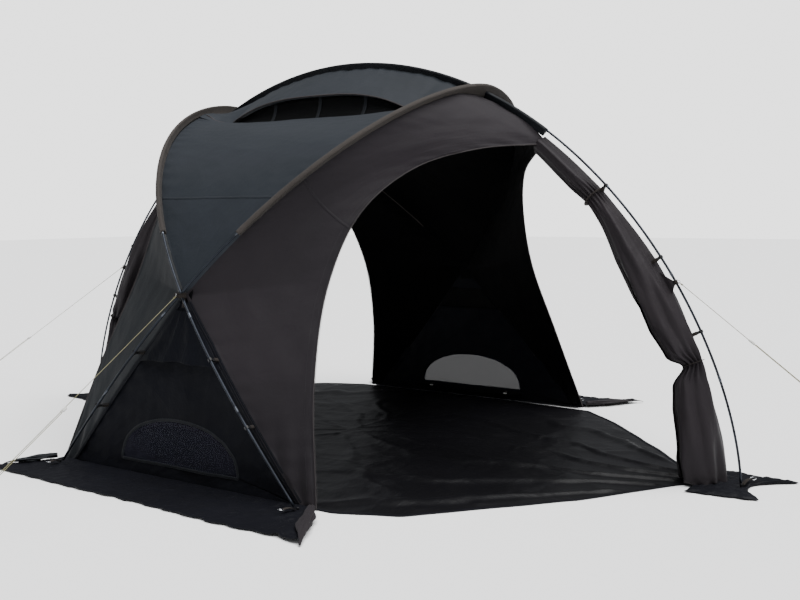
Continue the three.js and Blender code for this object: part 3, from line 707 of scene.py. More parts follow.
def paint_shade_inside(piece, finish):
    """A second finish, painted shade, on the faces that look towards the middle of the shelter."""
    mesh = piece.data
    mesh.materials.append(finish)
    normals, centres = np.empty(3 * len(mesh.polygons)), np.empty(3 * len(mesh.polygons))
    mesh.polygons.foreach_get("normal", normals)
    mesh.polygons.foreach_get("center", centres)
    away = (normals.reshape(-1, 3) * (centres.reshape(-1, 3) - np.array(MIDDLE))).sum(-1)
    mesh.polygons.foreach_set("material_index", (away < 0).astype(np.int32))
    mesh.update()


def cloth_area(piece):
    """The area of one side of a thin cloth."""
    return sum(f.area for f in piece.data.polygons) / 2


def place(piece, finish, slot, body="shelter", nodes=()):
    dress(piece, finish)
    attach(piece, body)
    if nodes:
        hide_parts(*nodes)
    return piece


# %% [markdown]
# ## Guy ropes
# Each rope is tied to the frame, runs straight and taut to the ground, turns round a peg and comes back
# to a plastic runner, which grips it. Sliding the runner shortens the doubled part. The rope is a round
# tube along its line, with the braid in its finish, and the doubled part is a second tube from the turn
# at the peg back to just past the runner.

# %% Guy ropes
ROPE_R, ROPE_TURN, ROPE_LOW, RUNNER_LENGTH, RUNNER_TRAVEL = 0.0015, 0.006, 0.010, 0.034, 0.45
TIE = POLE_R + 0.010
LEAN_ACROSS = float(hoop_half(CROSS_Z - 0.001) - hoop_half(CROSS_Z + 0.001)) / 0.002
BAND_ACROSS = 2 * POLE_R + POLE_GAP + LEAN_ACROSS * 0.011 + 2 * CLEAR
GUYS = {
    "left": ((-(CROSS_X + BAND_ACROSS + 0.006), 0, CROSS_Z), (-1, 0), 1.360, 0.49),
}
for end_name, run, share in (("front", 1.240, 0.28), ("back", 1.750, 0.62)):
    sign, height = ENDS[end_name], ROPE_HEIGHTS[end_name]
    GUYS[end_name] = ((0, sign * (float(ridge_reach(height)) + TIE), height), (0, sign), run, share)
guy_lines = {}
for name, (start, toward, run, share) in GUYS.items():
    start = np.array(start)
    end = np.array([start[0] + toward[0] * run, start[1] + toward[1] * run, ROPE_LOW])
    axis = unit(end - start)
    level = np.array([-toward[1], toward[0], 0.0])
    turn = [end + level * ROPE_TURN * (1 - math.cos(a)) + axis * ROPE_TURN * math.sin(a)
            for a in np.linspace(0, math.pi, 9)]
    path = np.array([*(start + (end - start) * t for t in np.linspace(0, 1, 26)[:-1]), *turn])
    slide = start + (end - start) * share
    tail = slide + axis * (RUNNER_LENGTH / 2 + 0.001)
    back = end + level * 2 * ROPE_TURN
    strand = np.linspace(back, tail + level * 2 * ROPE_TURN, 26)
    guy_lines[name] = {"start": start, "end": end, "axis": axis, "level": level, "slide": slide}
    for part, line in {"rope": path, "loop": strand}.items():
        tube = sweep(f"{name}_{part}", line, ring_section(ROPE_R, 10), np.cross(axis, level))
        place(tube, rope_finish, "rope", nodes=[f"{name}_guy_{part}"])
        guy_lines[name][part] = (tube, line)
    print(name, "rope", round(length_of(path), 3), "m, doubled", round(length_of(strand), 3), "m")

# %% [markdown]
# ## Poles
# A shock-corded pole is a row of thin alloy tubes that push into each other at ferrules. Bent into
# the hoop, it looks like one long bow with a slightly thicker collar every half metre. A swept
# circle whose radius steps up at each collar gives both in one closed mesh. The ends stop above
# the moulded tips, which stand on the skirt.

# %% Poles
HOOPS = {"back_foot": (1, HOOP_REACH + POLE_R + POLE_GAP),
         "front_foot": (-1, HOOP_REACH - POLE_R - POLE_GAP)}
POLE_LOW = 0.004 + 0.001 + 0.020
SECTION_LENGTH, COLLAR_LENGTH, COLLAR_SHARE, POLE_SIDES = 0.545, 0.030, 1.12, 14


def hoop_line(end, reach, low, count):
    start = math.acos(float(hoop_half(low, reach)) / reach)
    angle = np.linspace(start, math.pi - start, 8 * count)
    x = -reach * np.cos(angle)
    z = hoop_height(x, reach)
    return resample(points(x, end * hoop_along(z), z), count)


def ridge_line(reach, count):
    start = math.acos(min(1.0, reach / RIDGE_REACH))
    y = -RIDGE_REACH * np.cos(np.linspace(start, math.pi - start, 8 * count))
    return resample(points(0, y, ridge_height(y)), count)


def pole(name, line, nodes, first):
    along = distance_along(line)
    collars = np.arange(first, along[-1] - 0.1, SECTION_LENGTH)
    edges = np.concatenate([[c - COLLAR_LENGTH / 2, c - COLLAR_LENGTH / 2 + 0.001,
                             c + COLLAR_LENGTH / 2 - 0.001, c + COLLAR_LENGTH / 2] for c in collars])
    stops = np.unique(np.concatenate([np.linspace(0, along[-1], 220), edges]))
    path = np.stack([np.interp(stops, along, line[:, k]) for k in range(3)], -1)
    near = np.abs(stops[:, None] - collars).min(axis=1) < COLLAR_LENGTH / 2 - 0.0005
    radius = np.where(near, POLE_R * COLLAR_SHARE, POLE_R)
    section = ring_section(1.0, POLE_SIDES)[None] * radius[:, None, None]
    out = carried(path, (0, 0.3, 1))
    tube = place(sweep(name, path, section, out), pole_finish, "pole", nodes=nodes)
    tube.data.materials.append(ferrule_finish)
    ring = np.repeat(near[:-1] & near[1:], POLE_SIDES)
    index = np.concatenate([ring.astype(np.int32), [0, 0]])
    tube.data.polygons.foreach_set("material_index", index)
    print(name, round(along[-1], 2), "m long with", len(collars), "collars")
    return tube


for name, (end, reach) in HOOPS.items():
    pole(f"{name}_hoop", hoop_line(end, reach, POLE_LOW, 400), [f"{name}_hoop_pole"], 0.52)
ridge_low = float(ridge_reach(POLE_LOW))
pole("ridge", ridge_line(ridge_low, 400), ["ridge_pole"], 0.50)

# %% [markdown]
# ## Pole tips
# Each pole ends in a moulded plug that stands in an eyelet on the skirt. It is turned: one profile
# spun round an upright line, with a shoulder below the pole and a rounded nose.

# %% Tips
def spin(name, profile, x, y, sides=24):
    rings = [[(x + r * math.cos(a), y + r * math.sin(a), z)
              for a in np.arange(sides) * 2 * math.pi / sides] for r, z in profile]
    return mesh_piece(name, np.concatenate(rings), tube_faces(len(rings), sides))


def tip(name, x, y):
    profile = [(0.0022, 0.0050), (0.0034, 0.0056), (TIP_R, 0.0072), (TIP_R, 0.0160),
               (0.0048, 0.0170), (POLE_R, 0.0182), (POLE_R, 0.0225), (0.0054, 0.0238)]
    place(spin(f"{name}_plug", profile, x, y), tip_finish, "tip", nodes=[f"{name}_tip"])


for name, (end, reach) in HOOPS.items():
    for side, sign in SIDES.items():
        tip(f"{name}_{side}", sign * float(hoop_half(0, reach)), end * HOOP_FOOT)
for end, sign in ENDS.items():
    tip(f"ridge_{end}", 0.0, sign * RIDGE_REACH)
print("tips: 6")

# %% [markdown]
# ## Sleeves
# A sleeve is a strip of stout cloth folded over the pole and sewn down along its two edges, where
# the roof and the door surround meet it too. Cut across, it is a drop: round over the pole and
# flat at the seam. It puckers a little along the seam and narrows at its mouth.

# %% Sleeves
SLEEVE_WIDE, SLEEVE_DEEP, SEAM_THIN = 0.0145, 0.0090, 0.0022
HOOP_TAIL, RIDGE_TAIL = 0.004, UNDER_SLEEVE + 0.009


def drop_section(wide, deep, tail):
    """A drop, round over the pole and drawn out to the seam below. out is positive outwards."""
    angle = np.linspace(-0.15 * np.pi, 1.15 * np.pi, 13)
    over = np.stack([wide * np.cos(angle), deep * np.sin(angle)], -1)
    half = np.array([[wide * 0.55, -0.5 * tail], [SEAM_THIN, -0.85 * tail], [SEAM_THIN, -tail]])
    return np.concatenate([over, half * (-1, 1), half[::-1]])


def sleeve(name, line, finish, slot, tail, nodes, seed):
    s = np.linspace(0, length_of(line), len(line))
    lift = -inward(line)
    ripple = waves(s, 0 * s, 0.09, seed)
    ends = np.minimum(smoothstep(s, 0, 0.012), smoothstep(s[-1] - s, 0, 0.012))
    wide = SLEEVE_WIDE + 0.0012 * ripple
    section = np.array([drop_section(w * (0.93 + 0.07 * e), SLEEVE_DEEP, t)
                        for w, e, t in zip(wide, ends, tail * (1 + 0.03 * ripple))])
    return place(sweep(name, line, section, lift), finish, slot, nodes=nodes)


for seed, (name, (end, reach)) in enumerate(HOOPS.items()):
    line = hoop_line(end, reach, SLEEVE_START, 360)
    sleeve(f"{name}_sleeve", line, sleeve_finish, "hoop_sleeve",
           inset(line[:, 2], line[:, 0]) + HOOP_TAIL, [f"{name}_hoop_sleeve"], 20 + seed)
    print(name, "sleeve", round(length_of(line), 2), "m")
line = ridge_line(RIDGE_SLEEVE_REACH, 300)
sleeve("ridge_cover", line, ridge_sleeve_finish, "ridge_sleeve",
       np.full(len(line), RIDGE_TAIL), ["ridge_sleeve"], 24)

# %% [markdown]
# ## Roof
# Each roof panel spans from one hoop to the other, from the point where they cross up to the
# ridge cap. It is cut flat and pulled tight, so it is nearly a ruled surface that sags a little at
# its free top edge. Short puckers run away from the two sleeves, and a sewn joint crosses it.

# %% Roof panels
def across_hoops(x):
    return edge_across(x, -1), edge_across(x, 1)


def roof_top_sag(y):
    return ROOF_SAG * np.clip(1 - (np.abs(y) / (HOOP_LEAN * 0.97)) ** 4, 0, 1)


def roof_surface(side, u, v):
    low = float(hoop_half(CROSS_Z + 0.008))
    x = side * (low + (ROOF_EDGE - low) * np.sin(u * np.pi / 2))
    front, back = across_hoops(x)
    p = front + (back - front) * v[..., None]
    p[..., 2] -= roof_top_sag(p[..., 1]) * u**2
    return p


roof_grids = {}
ROOF_RUN = 1.5


def roof_panel(side_name, side):
    u, v = patch(150, 180)
    p = roof_surface(side, u, v)
    span = np.linalg.norm(edge_across(p[..., 0], 1) - edge_across(p[..., 0], -1), axis=-1)
    normal = facing_out(p)
    near = np.minimum(v, 1 - v) * span
    run = u * ROOF_RUN
    bump = 0.0035 * puckers(run, near, 0.075, 0.10, 31 + side)
    bump += 0.004 * waves(p[..., 1] * 0.55, run, 0.5, 33 + side)
    bump += 0.004 * (waves(run + 0.35 * v, v * 0.5, 0.22, 35 + side, creased=True) - 0.3)
    hold = smoothstep(near, 0, 0.02) * smoothstep(u, 0, 0.06) * smoothstep(1 - u, 0, 0.02)
    p = p + normal * (bump * hold - 0.0006)[..., None]
    sheet = place(shell(f"{side_name}_roof_panel", p), roof_finish, "roof_cloth",
                  nodes=[f"roof_{side_name}"])
    # The faces inside get the near-black copy of the cloth, painted shade.
    paint_shade_inside(sheet, inside_painted_shade_finish)
    roof_grids[side_name] = p
    return sheet


for side_name, side in SIDES.items():
    sheet = roof_panel(side_name, side)
    print(sheet.name, len(sheet.data.polygons), "faces")

# %% [markdown]
# ## Ridge cap and its vent
# The cap is a strip that hangs over the ridge pole like a saddle cloth. A wire in each long hem
# bows it up, so that a dark slot stands open between the hem and the roof. Mesh closes the slot
# from the inside, with a few straps that keep the hem from blowing up further.

# %% Ridge cap
EDGE_LEAN = float(np.abs(edge_across(np.array(ROOF_EDGE), -1)[1]))
VENT_STRIP_HALF, VENT_STRAPS = 0.635, (-0.34, -0.02, 0.30)


def roof_top(y):
    at = (1 - y / EDGE_LEAN) / 2
    front, back = across_hoops(np.full_like(y, ROOF_EDGE))
    p = front + (back - front) * at[..., None]
    return p[..., 2] - roof_top_sag(p[..., 1])


def lip_height(y):
    share = np.minimum(1, np.abs(y) / VENT_REACH)
    return roof_top(y) + 0.005 + (ROOF_SAG + LIP_LIFT - 0.005) * (1 - share**3)


def cap_surface(u, v):
    across = 2 * v - 1
    x = across * CAP_HALF
    ends = np.abs(edge_across(x, -1)[..., 1]) - 0.001
    y = (2 * u - 1) * ends
    ridge = ridge_height(y) - UNDER_SLEEVE + 0.002
    fall = np.abs(across) ** 1.15
    z = ridge + (lip_height(y) - ridge) * fall
    end_z = edge_across(x, -1)[..., 2]
    z = z + (end_z - z) * smoothstep(np.abs(2 * u - 1), 0.86, 1.0)
    return points(x, y, z)


def ridge_cap():
    u, v = patch(180, 72)
    p = cap_surface(u, v)
    bump = 0.0035 * waves(p[..., 1], p[..., 0], 0.30, 41)
    bump += 0.004 * puckers(p[..., 1], np.abs(p[..., 0]), 0.09, 0.07, 42)
    bump += 0.005 * puckers(p[..., 0], 0.93 - np.abs(p[..., 1]), 0.05, 0.10, 43)
    edge = smoothstep(1 - np.abs(2 * v - 1), 0, 0.06) * smoothstep(1 - np.abs(2 * u - 1), 0, 0.03)
    p[..., 2] += bump * edge
    sheet = place(shell("ridge_cap_cloth", p), roof_finish, "roof_cloth", nodes=["ridge_cap"])
    for v_end, side in ((0.0, -1), (1.0, 1)):
        steps = np.linspace(0.02, 0.98, 200)
        hem = cap_surface(steps, np.full_like(steps, v_end))
        hem[:, 0] += side * 0.001
        section = ring_section(0.0038, 10)
        tube = sweep(f"cap_hem_{'left' if side < 0 else 'right'}", hem, section, (0, 0, 1))
        place(tube, binding_finish, "roof_cloth")
    return sheet


def vent_strip(side_name, side):
    steps = np.linspace(-VENT_STRIP_HALF, VENT_STRIP_HALF, 90)
    low = points(side * (ROOF_EDGE - 0.004), steps, roof_top(steps) + 0.002)
    high = points(side * (CAP_HALF - 0.022), steps, lip_height(steps) - 0.006)
    t = np.linspace(0, 1, 8)
    grid = between(low, high, t)
    grid[..., 0] -= side * 0.014 * np.sin(np.pi * t)
    # The near-black, almost opaque mesh is painted shade for the slot under the lip.
    strip = place(shell(f"{side_name}_vent_strip", grid, 0.0005), vent_mesh_painted_shade_finish, "vent_mesh",
                  nodes=[f"ridge_vent_mesh_{side_name}"])
    for k, y in enumerate(VENT_STRAPS):
        row = int(np.argmin(np.abs(steps - y)))
        line = grid[row] + np.array([side * 0.004, 0, 0])
        strap = sweep(f"{side_name}_vent_strap_{k + 1}", line, tape_section(0.022, 0.0014),
                      (side * 1.0, 0, 0.2))
        place(strap, ridge_sleeve_finish, "webbing")


def lip_end(side_name, side, end_name, end):
    """Where the slot closes, the cap's hem is sewn down to the roof by a narrow gusset."""
    hem = cap_surface(np.linspace(0.004, 0.996, 400), np.full(400, 0.5 + side * 0.5))
    hem = hem[end * hem[:, 1] > VENT_REACH - 0.030]
    y = hem[:, 1]
    high = points(side * (CAP_HALF - 0.010), y, hem[:, 2] + 0.0030)
    low = points(side * (ROOF_EDGE + 0.012), y, roof_top(y) + 0.0045)
    grid = between(low, high, np.linspace(0, 1, 10))
    return place(shell(f"{side_name}_{end_name}_lip_gusset", grid), roof_finish, "roof_cloth")


cap = ridge_cap()
for side_name, side in SIDES.items():
    for end_name, end in ENDS.items():
        lip_end(side_name, side, end_name, end)
for side_name, side in SIDES.items():
    vent_strip(side_name, side)
print("cap:", len(cap.data.polygons), "faces; slot at the middle",
      round(float(lip_height(np.array(0.0)) - roof_top(np.array(0.0))), 3), "m")

# %% [markdown]
# ## Door surrounds
# Four panels fill the space between a hoop's line and the arched edge of a doorway. The arch is a
# curve in space: it starts at the ground beside the hoop's foot, leans in and meets the ridge
# pole's leg high up. Cloth pulled between two curves is a ruled surface, so each panel is made of
# straight threads from the hoop's line to the arch, with tension puckers added along its edges.

# %% Lines of the door surrounds
DOORWAY = [(0.955, 0.924, 0), (0.85, 0.785, 0.26), (0.71, 0.708, 0.489), (0.571, 0.757, 0.66),
           (0.396, 0.909, 0.769), (0.217, 1.128, 0.818), (0, 1.368, 0.834)]
SEAM_HALF = 0.0008


def smooth_curve(knots, count=60):
    """A centripetal Catmull-Rom curve through the knots."""
    k = np.asarray(knots, float)
    k = np.concatenate([[2 * k[0] - k[1]], k, [2 * k[-1] - k[-2]]])
    out = []
    for i in range(1, len(k) - 2):
        p0, p1, p2, p3 = k[i - 1:i + 3]
        d0, d1, d2 = (np.linalg.norm(b - a) ** 0.5 for a, b in ((p0, p1), (p1, p2), (p2, p3)))
        t1 = ((p1 - p0) / d0 - (p2 - p0) / (d0 + d1) + (p2 - p1) / d1) * d1
        t2 = ((p2 - p1) / d1 - (p3 - p1) / (d1 + d2) + (p3 - p2) / d2) * d1
        t = np.linspace(0, 1, count, endpoint=i == len(k) - 3)[:, None]
        out.append(p1 + t1 * t + (3 * (p2 - p1) - 2 * t1 - t2) * t**2
                   + (2 * (p1 - p2) + t1 + t2) * t**3)
    return np.concatenate(out)


def arch_line(side, end, count):
    knots = [(side * max(SEAM_HALF, a * HOOP_REACH), end * b * HOOP_LEAN,
              PANEL_LOW + c * HOOP_HEIGHT) for a, b, c in DOORWAY]
    return resample(smooth_curve(knots), count)


def surround_outer(side, end, count):
    t = np.linspace(0, 1, 6 * count)
    leg = edge_at_height(PANEL_LOW + 2 * np.minimum(t, 0.5) * (CROSS_Z - PANEL_LOW), side, end)
    across = SEAM_HALF + (CROSS_X - SEAM_HALF) * np.cos((np.maximum(t, 0.5) - 0.5) * np.pi)
    over = edge_across(side * across, -end)
    return resample(np.where((t < 0.5)[:, None], leg, over), count)


def surround_inner(side, end, count):
    arch_count = round(count * ARCH_SHARE)
    arch = arch_line(side, end, arch_count)
    high = arch[-1]
    above = np.linspace(0, 1, count - arch_count + 1)[1:]
    y = abs(high[1]) + (HOOP_LEAN - abs(high[1])) * above
    p = points(0 * y, -y, ridge_height(y))
    under = np.interp(y, [RIDGE_SLEEVE_REACH, RIDGE_SLEEVE_REACH + 0.150], [UNDER_SLEEVE, DOOR_TAB])
    p = p + inward(p) * under[:, None]
    leg = points(side * SEAM_HALF + 0 * y, -end * p[:, 1], p[:, 2])
    share = np.minimum(1, 4 * above)[:, None]
    return np.concatenate([arch, high + (leg - high) * share])


def surround_surface(side, end, rows=220, cols=72):
    outer, inner = surround_outer(side, end, rows), surround_inner(side, end, rows)
    return between(outer, inner, np.linspace(0, 1, cols)), outer, inner


# %% Door surround panels
surrounds = {}


def surround_panel(end_name, end, side_name, side):
    p, outer, inner = surround_surface(side, end)
    rows, cols = p.shape[:2]
    normal = facing_out(p, (0, 0, 0.5))
    width = np.linalg.norm(inner - outer, axis=1)[:, None]
    v = np.linspace(0, 1, cols)[None, :]
    run = np.linspace(0, length_of(outer), rows)[:, None] + 0 * v
    from_arch, from_hoop = (1 - v) * width, v * width
    seed = 50 + 3 * side + 7 * end
    bump = 0.0030 * puckers(run, from_arch, 0.16, 0.10, seed)
    bump += 0.0026 * puckers(run, from_hoop, 0.10, 0.09, seed + 40)
    bump += 0.005 * waves(run * 0.5, from_arch, 0.45, seed + 80)
    pull = from_arch * 0.9 + run * 0.25
    bump += 0.004 * (waves(pull, run * 0.3, 0.16, seed + 90, creased=True) - 0.3) * np.exp(
        -from_arch / 0.35)
    low = 1 - smoothstep(p[..., 2], 0.02, 0.45)
    bump += 0.008 * low * np.sin(from_arch * 2 * np.pi / 0.11 + 3 * p[..., 2]) * smoothstep(
        from_arch, 0, 0.05)
    hold = smoothstep(from_arch, -0.004, 0.02) * smoothstep(from_hoop, 0, 0.03)
    rim = smoothstep(np.linspace(0, 1, rows)[:, None], 0, 0.01)
    p = p + normal * (bump * hold * rim)[..., None]
    # The back surrounds take the darker copy of the cloth, painted shade.
    finish = panel_finish if end_name == "front" else painted_shade_back_panel_finish
    piece = place(shell(f"{end_name}_{side_name}_surround", p), finish, "door_cloth",
                  nodes=[f"{end_name}_{side_name}_door_panel"])
    # The faces inside get the near-black copy of the cloth, painted shade.
    paint_shade_inside(piece, inside_painted_shade_finish)
    surrounds[end_name, side_name] = p
    return piece


def arch_binding(end_name, side_name):
    """The folded tape and the zip's cord along the arch."""
    p = surrounds[end_name, side_name]
    count = round(len(p) * ARCH_SHARE)
    line = resample(p[:count, -1], 260)
    toward = resample(p[:count, -4], 260)
    over = unit(line - toward)
    tube = sweep(f"{end_name}_{side_name}_arch_binding", line + over * 0.001,
                 ring_section(0.0036, 8, 0.7), over)
    return place(tube, binding_finish, "door_cloth")


for end_name, end in ENDS.items():
    for side_name, side in SIDES.items():
        piece = surround_panel(end_name, end, side_name, side)
        hem = arch_binding(end_name, side_name)
        print(piece.name, "area", round(cloth_area(piece), 2), "m2")

# %% [markdown]
# ## Side walls
# A side wall is the triangle between two bare legs, below the crossing. It has a half-round mesh
# window low down, a second strip of mesh high up, and a loose hood over that strip. The wall is
# flat across the ridge's direction, so its rings run from the window's outline to the wall's own.

# %% Side walls
WALL_LOW, WALL_HIGH, HOOD_TUCK = 0.004 + 2 * CLEAR, CROSS_Z - 0.030, 0.012
SILL_POINTS = 60


def wall_point(side, y, z, lift=0.0):
    line = edge_at_height(np.asarray(z, float), side, 1)
    return points(line[..., 0] + side * lift, y, line[..., 2])


def wall_half(z):
    return np.abs(edge_at_height(np.asarray(z, float), 1, 1)[..., 1]) - 0.001


def window_outline(count):
    angle = np.linspace(0, np.pi, 200)
    rise = (WINDOW_HIGH - WINDOW_LOW) * np.sin(angle) ** 0.85
    sill = np.linspace(-WINDOW_HALF, WINDOW_HALF, SILL_POINTS)[:-1]
    y = np.concatenate([sill, WINDOW_HALF * np.cos(angle)])
    z = WINDOW_LOW + np.concatenate([0 * sill, rise])
    return resample(points(y, z, 0 * z), count)[:, :2]


def wall_outline():
    bottom = wall_half(WALL_LOW)
    z = np.linspace(WALL_LOW, VENT_LOW, 30)
    half = wall_half(z)
    sill = np.linspace(-bottom, bottom, SILL_POINTS)
    y = np.concatenate([sill, half[1:], -half[::-1][:-1], [-bottom]])
    height = np.concatenate([np.full(SILL_POINTS, WALL_LOW), z[1:], z[::-1][:-1], [WALL_LOW]])
    return y, height


def matched(outline_y, outline_z, breaks, count):
    """Points along a closed outline, with an equal share of them between each pair of breaks."""
    line = points(outline_y, outline_z, 0 * np.asarray(outline_y))
    along = distance_along(line)
    at = np.interp(np.linspace(0, len(breaks) - 1, count), range(len(breaks)),
                   [along[b] for b in breaks])
    return np.stack([np.interp(at, along, line[:, k]) for k in range(2)], -1)


def wall_rings(count=241, rings=46):
    inner = window_outline(1200)
    corner = int(np.argmax(inner[:, 0]))
    loop = np.concatenate([inner, inner[:1]])
    inner = matched(loop[:, 0], loop[:, 1], [0, corner, len(loop) - 1], count)
    y, z = wall_outline()
    outer = matched(y, z, [0, SILL_POINTS - 1, len(y) - 1], count)
    t = np.linspace(0, 1, rings)[:, None, None]
    return inner + (outer - inner) * t


def wall_bump(y, z, side):
    slack = 0.006 * waves(y, z, 0.35, 71 + side)
    creases = 0.006 * (waves(y * 0.7 + z, z * 0.6, 0.20, 73 + side, creased=True) - 0.3)
    near_leg = wall_half(z) - np.abs(y)
    pull = 0.005 * np.sin((z - 0.5 * np.abs(y)) * 2 * np.pi / 0.12) * np.exp(-near_leg / 0.07)
    return (slack + creases + pull) * smoothstep(near_leg, 0, 0.04) - 0.004


def side_wall(side_name, side):
    flat = wall_rings()
    y, z = flat[..., 0], flat[..., 1]
    bump = wall_bump(y, z, side) * smoothstep(z, WALL_LOW, WALL_LOW + 0.05)
    lower = shell(f"{side_name}_wall_cloth", wall_point(side, y, z, bump))
    u, v = patch(24, 60)
    z = VENT_HIGH + u * (WALL_HIGH - VENT_HIGH)
    y = (2 * v - 1) * wall_half(z)
    upper = shell(f"{side_name}_wall_peak", wall_point(side, y, z, -0.003))
    wall = joined(lower, upper)
    return place(wall, wall_finish, "wall_cloth", nodes=[f"{side_name}_wall"])


def window_edge(side):
    """The line of the window's tape, on the outside of the wall."""
    y, z = wall_rings()[0].T
    return wall_point(side, y, z, 0.001 + wall_bump(y, z, side))


def window_net(side_name, side):
    edge = wall_rings()[0]
    middle = np.array([0.0, WINDOW_LOW + 0.35 * (WINDOW_HIGH - WINDOW_LOW)])
    t = np.linspace(1.0, 0.004, 14)[:, None, None]
    flat = middle + (edge - middle) * t
    y, z = flat[..., 0], flat[..., 1]
    lift = wall_bump(y, z, side) * 0.8 - 0.001
    net = shell(f"{side_name}_window_net", wall_point(side, y, z, lift), 0.0005)
    place(net, window_mesh_finish, "vent_mesh", nodes=[f"{side_name}_window_mesh"])
    tape = sweep(f"{side_name}_window_tape", window_edge(side), tape_section(0.016, 0.0016),
                 (side, 0, 0.0))
    place(tape, ridge_sleeve_finish, "wall_cloth")


def vent_net(side_name, side):
    u, v = patch(14, 60)
    z = VENT_LOW + u * (VENT_HIGH - VENT_LOW)
    y = (2 * v - 1) * wall_half(z)
    net = shell(f"{side_name}_high_vent", wall_point(side, y, z, -0.004), 0.0005)
    # The near-black, almost opaque mesh is painted shade under the hood.
    place(net, vent_mesh_painted_shade_finish, "vent_mesh")
    return net


def vent_hood(side_name, side):
    u, v = patch(70, 110)
    hem = HOOD_HEM + 0.003 * np.cos(5 * np.pi * (v - 0.5)) + 0.016 * (1 - (2 * v - 1) ** 2)
    z = hem + u * (CROSS_Z - 0.075 - hem)
    y = (2 * v - 1) * (wall_half(z) - HOOD_TUCK)
    slack = 1 - np.abs(2 * v - 1) ** 4
    lift = 0.003 + 0.027 * (1 - u) * slack
    folds = 0.006 * np.sin(v * 7 * np.pi + 2.2 * u) * (1 - u) ** 0.7 * slack
    creases = 0.006 * (waves(y * 2.4, z * 0.6, 0.16, 81 + side, creased=True) - 0.3) * slack
    p = wall_point(side, y, z, np.maximum(0.003, lift + folds + creases))
    hood = place(shell(f"{side_name}_hood_cloth", p), wall_finish, "wall_cloth",
                 nodes=[f"{side_name}_vent_hood"])


for side_name, side in SIDES.items():
    wall = side_wall(side_name, side)
    net = vent_net(side_name, side)
    window_net(side_name, side)
    vent_hood(side_name, side)
    print(wall.name, "area", round(cloth_area(wall), 2), "m2")

# %% [markdown]
# ## Ground sheet
# The floor is one coated sheet with six corners. It isn't pegged tight, so long shallow wrinkles
# run across it from corner to corner, and fold lines cross them from when it was packed. The wrinkles
# are creases stretched out along the sheet, a centimetre or so high, which the gloss then shows.

# %% Ground sheet
SHEET_TOP, SHEET_REACH, PULL_FROM = 0.0032, 2.070, 2.320
FOLDS_ACROSS, FOLDS_ALONG, FOLD_WIDTH = (-0.62, 0.05, 0.70), (-1.05, 0.02, 1.02), 0.006


def sheet_half(x, y):
    """Half the sheet's width. Two corners are pulled straight, the other two lie slack."""
    ys = [0, 0.93, 1.216, 1.743, 2.03, SHEET_REACH]
    slack = np.interp(np.abs(y), ys, [1.368, 1.366, 1.245, 0.600, 0.110, 0.070])
    straight = np.interp(np.abs(y), ys, [1.368, 1.316, 1.060, 0.470, 0.100, 0.060])
    return np.where(x * y < 0, straight, slack)


def ground_sheet():
    u, v = patch(300, 200)
    y = (2 * u - 1) * SHEET_REACH
    half = sheet_half(2 * v - 1, y)
    x = (2 * v - 1) * half
    x = x + 0.006 * waves(y, 0 * y, 0.30, 91) * np.abs(2 * v - 1)
    long = waves(x * 0.22 + 0.15 * y, y * 1.0 - 0.2 * x, 0.34, 92, creased=True) ** 2
    fan = np.arctan2(np.abs(x) + 0.25, np.abs(y) + 0.35)
    rays = np.maximum(0, np.sin(fan * 26 + 2 * waves(x, y, 0.9, 93))) ** 3
    soft = waves(x, y, 0.5, 94)
    folds = sum(np.exp(-np.abs(x - c) / FOLD_WIDTH) for c in FOLDS_ACROSS)
    folds = folds + sum(np.exp(-np.abs(y - c) / FOLD_WIDTH) for c in FOLDS_ALONG)
    height = 0.016 * long + 0.006 * rays + 0.003 * (soft + 1) + 0.0035 * np.minimum(1, folds)
    from_foot = np.arctan2(x, PULL_FROM - np.abs(y))
    pulled = np.maximum(0, np.sin(from_foot * 24 + 1.5 * waves(x, y, 1.1, 95))) ** 4
    height = height + 0.016 * pulled * smoothstep(np.abs(y), 0.1, 1.2)
    edge = np.minimum((1 - np.abs(2 * v - 1)) * half, SHEET_REACH - np.abs(y))
    height = height * smoothstep(edge, 0, 0.10) * 0.9
    p = points(x, y, SHEET_TOP + height)
    sheet = place(shell("floor_sheet", p, 0.0010, centre=FAR_BELOW), sheet_finish, "ground_sheet",
                  nodes=["ground_sheet"])
    for side_name, edge_column in (("left", 0), ("right", -1)):
        line = points(p[:, edge_column, 0], y[:, 0], SHEET_TOP + 0.0008)
        tape = sweep(f"floor_hem_{side_name}", resample(line, 240), tape_section(0.020, 0.0016),
                     (0, 0, 1))
        place(tape, skirt_finish, "ground_sheet")
    return sheet


sheet = ground_sheet()
print("ground sheet area", round(cloth_area(sheet), 2), "m2")

# %% [markdown]
# ## Skirts
# A skirt is sewn to the foot of each side wall and lies on the ground outside it, to keep the wind
# out. It is cut wider than it needs, so it lies in small heaps, rises to the wall's foot at its
# inner edge, and runs out to a point at each corner.

# %% Side skirts
def crumple(x, y, size, seed):
    """Small heaps and sharp creases of cloth that lies loose, from 0 to about 1."""
    soft = 0.5 + 0.5 * waves(x, y, size, seed)
    sharp = waves(x, y, size * 0.6, seed + 1, creased=True)
    fine = waves(x, y, size * 0.28, seed + 2, creased=True)
    return 0.45 * soft + 0.40 * sharp + 0.25 * fine


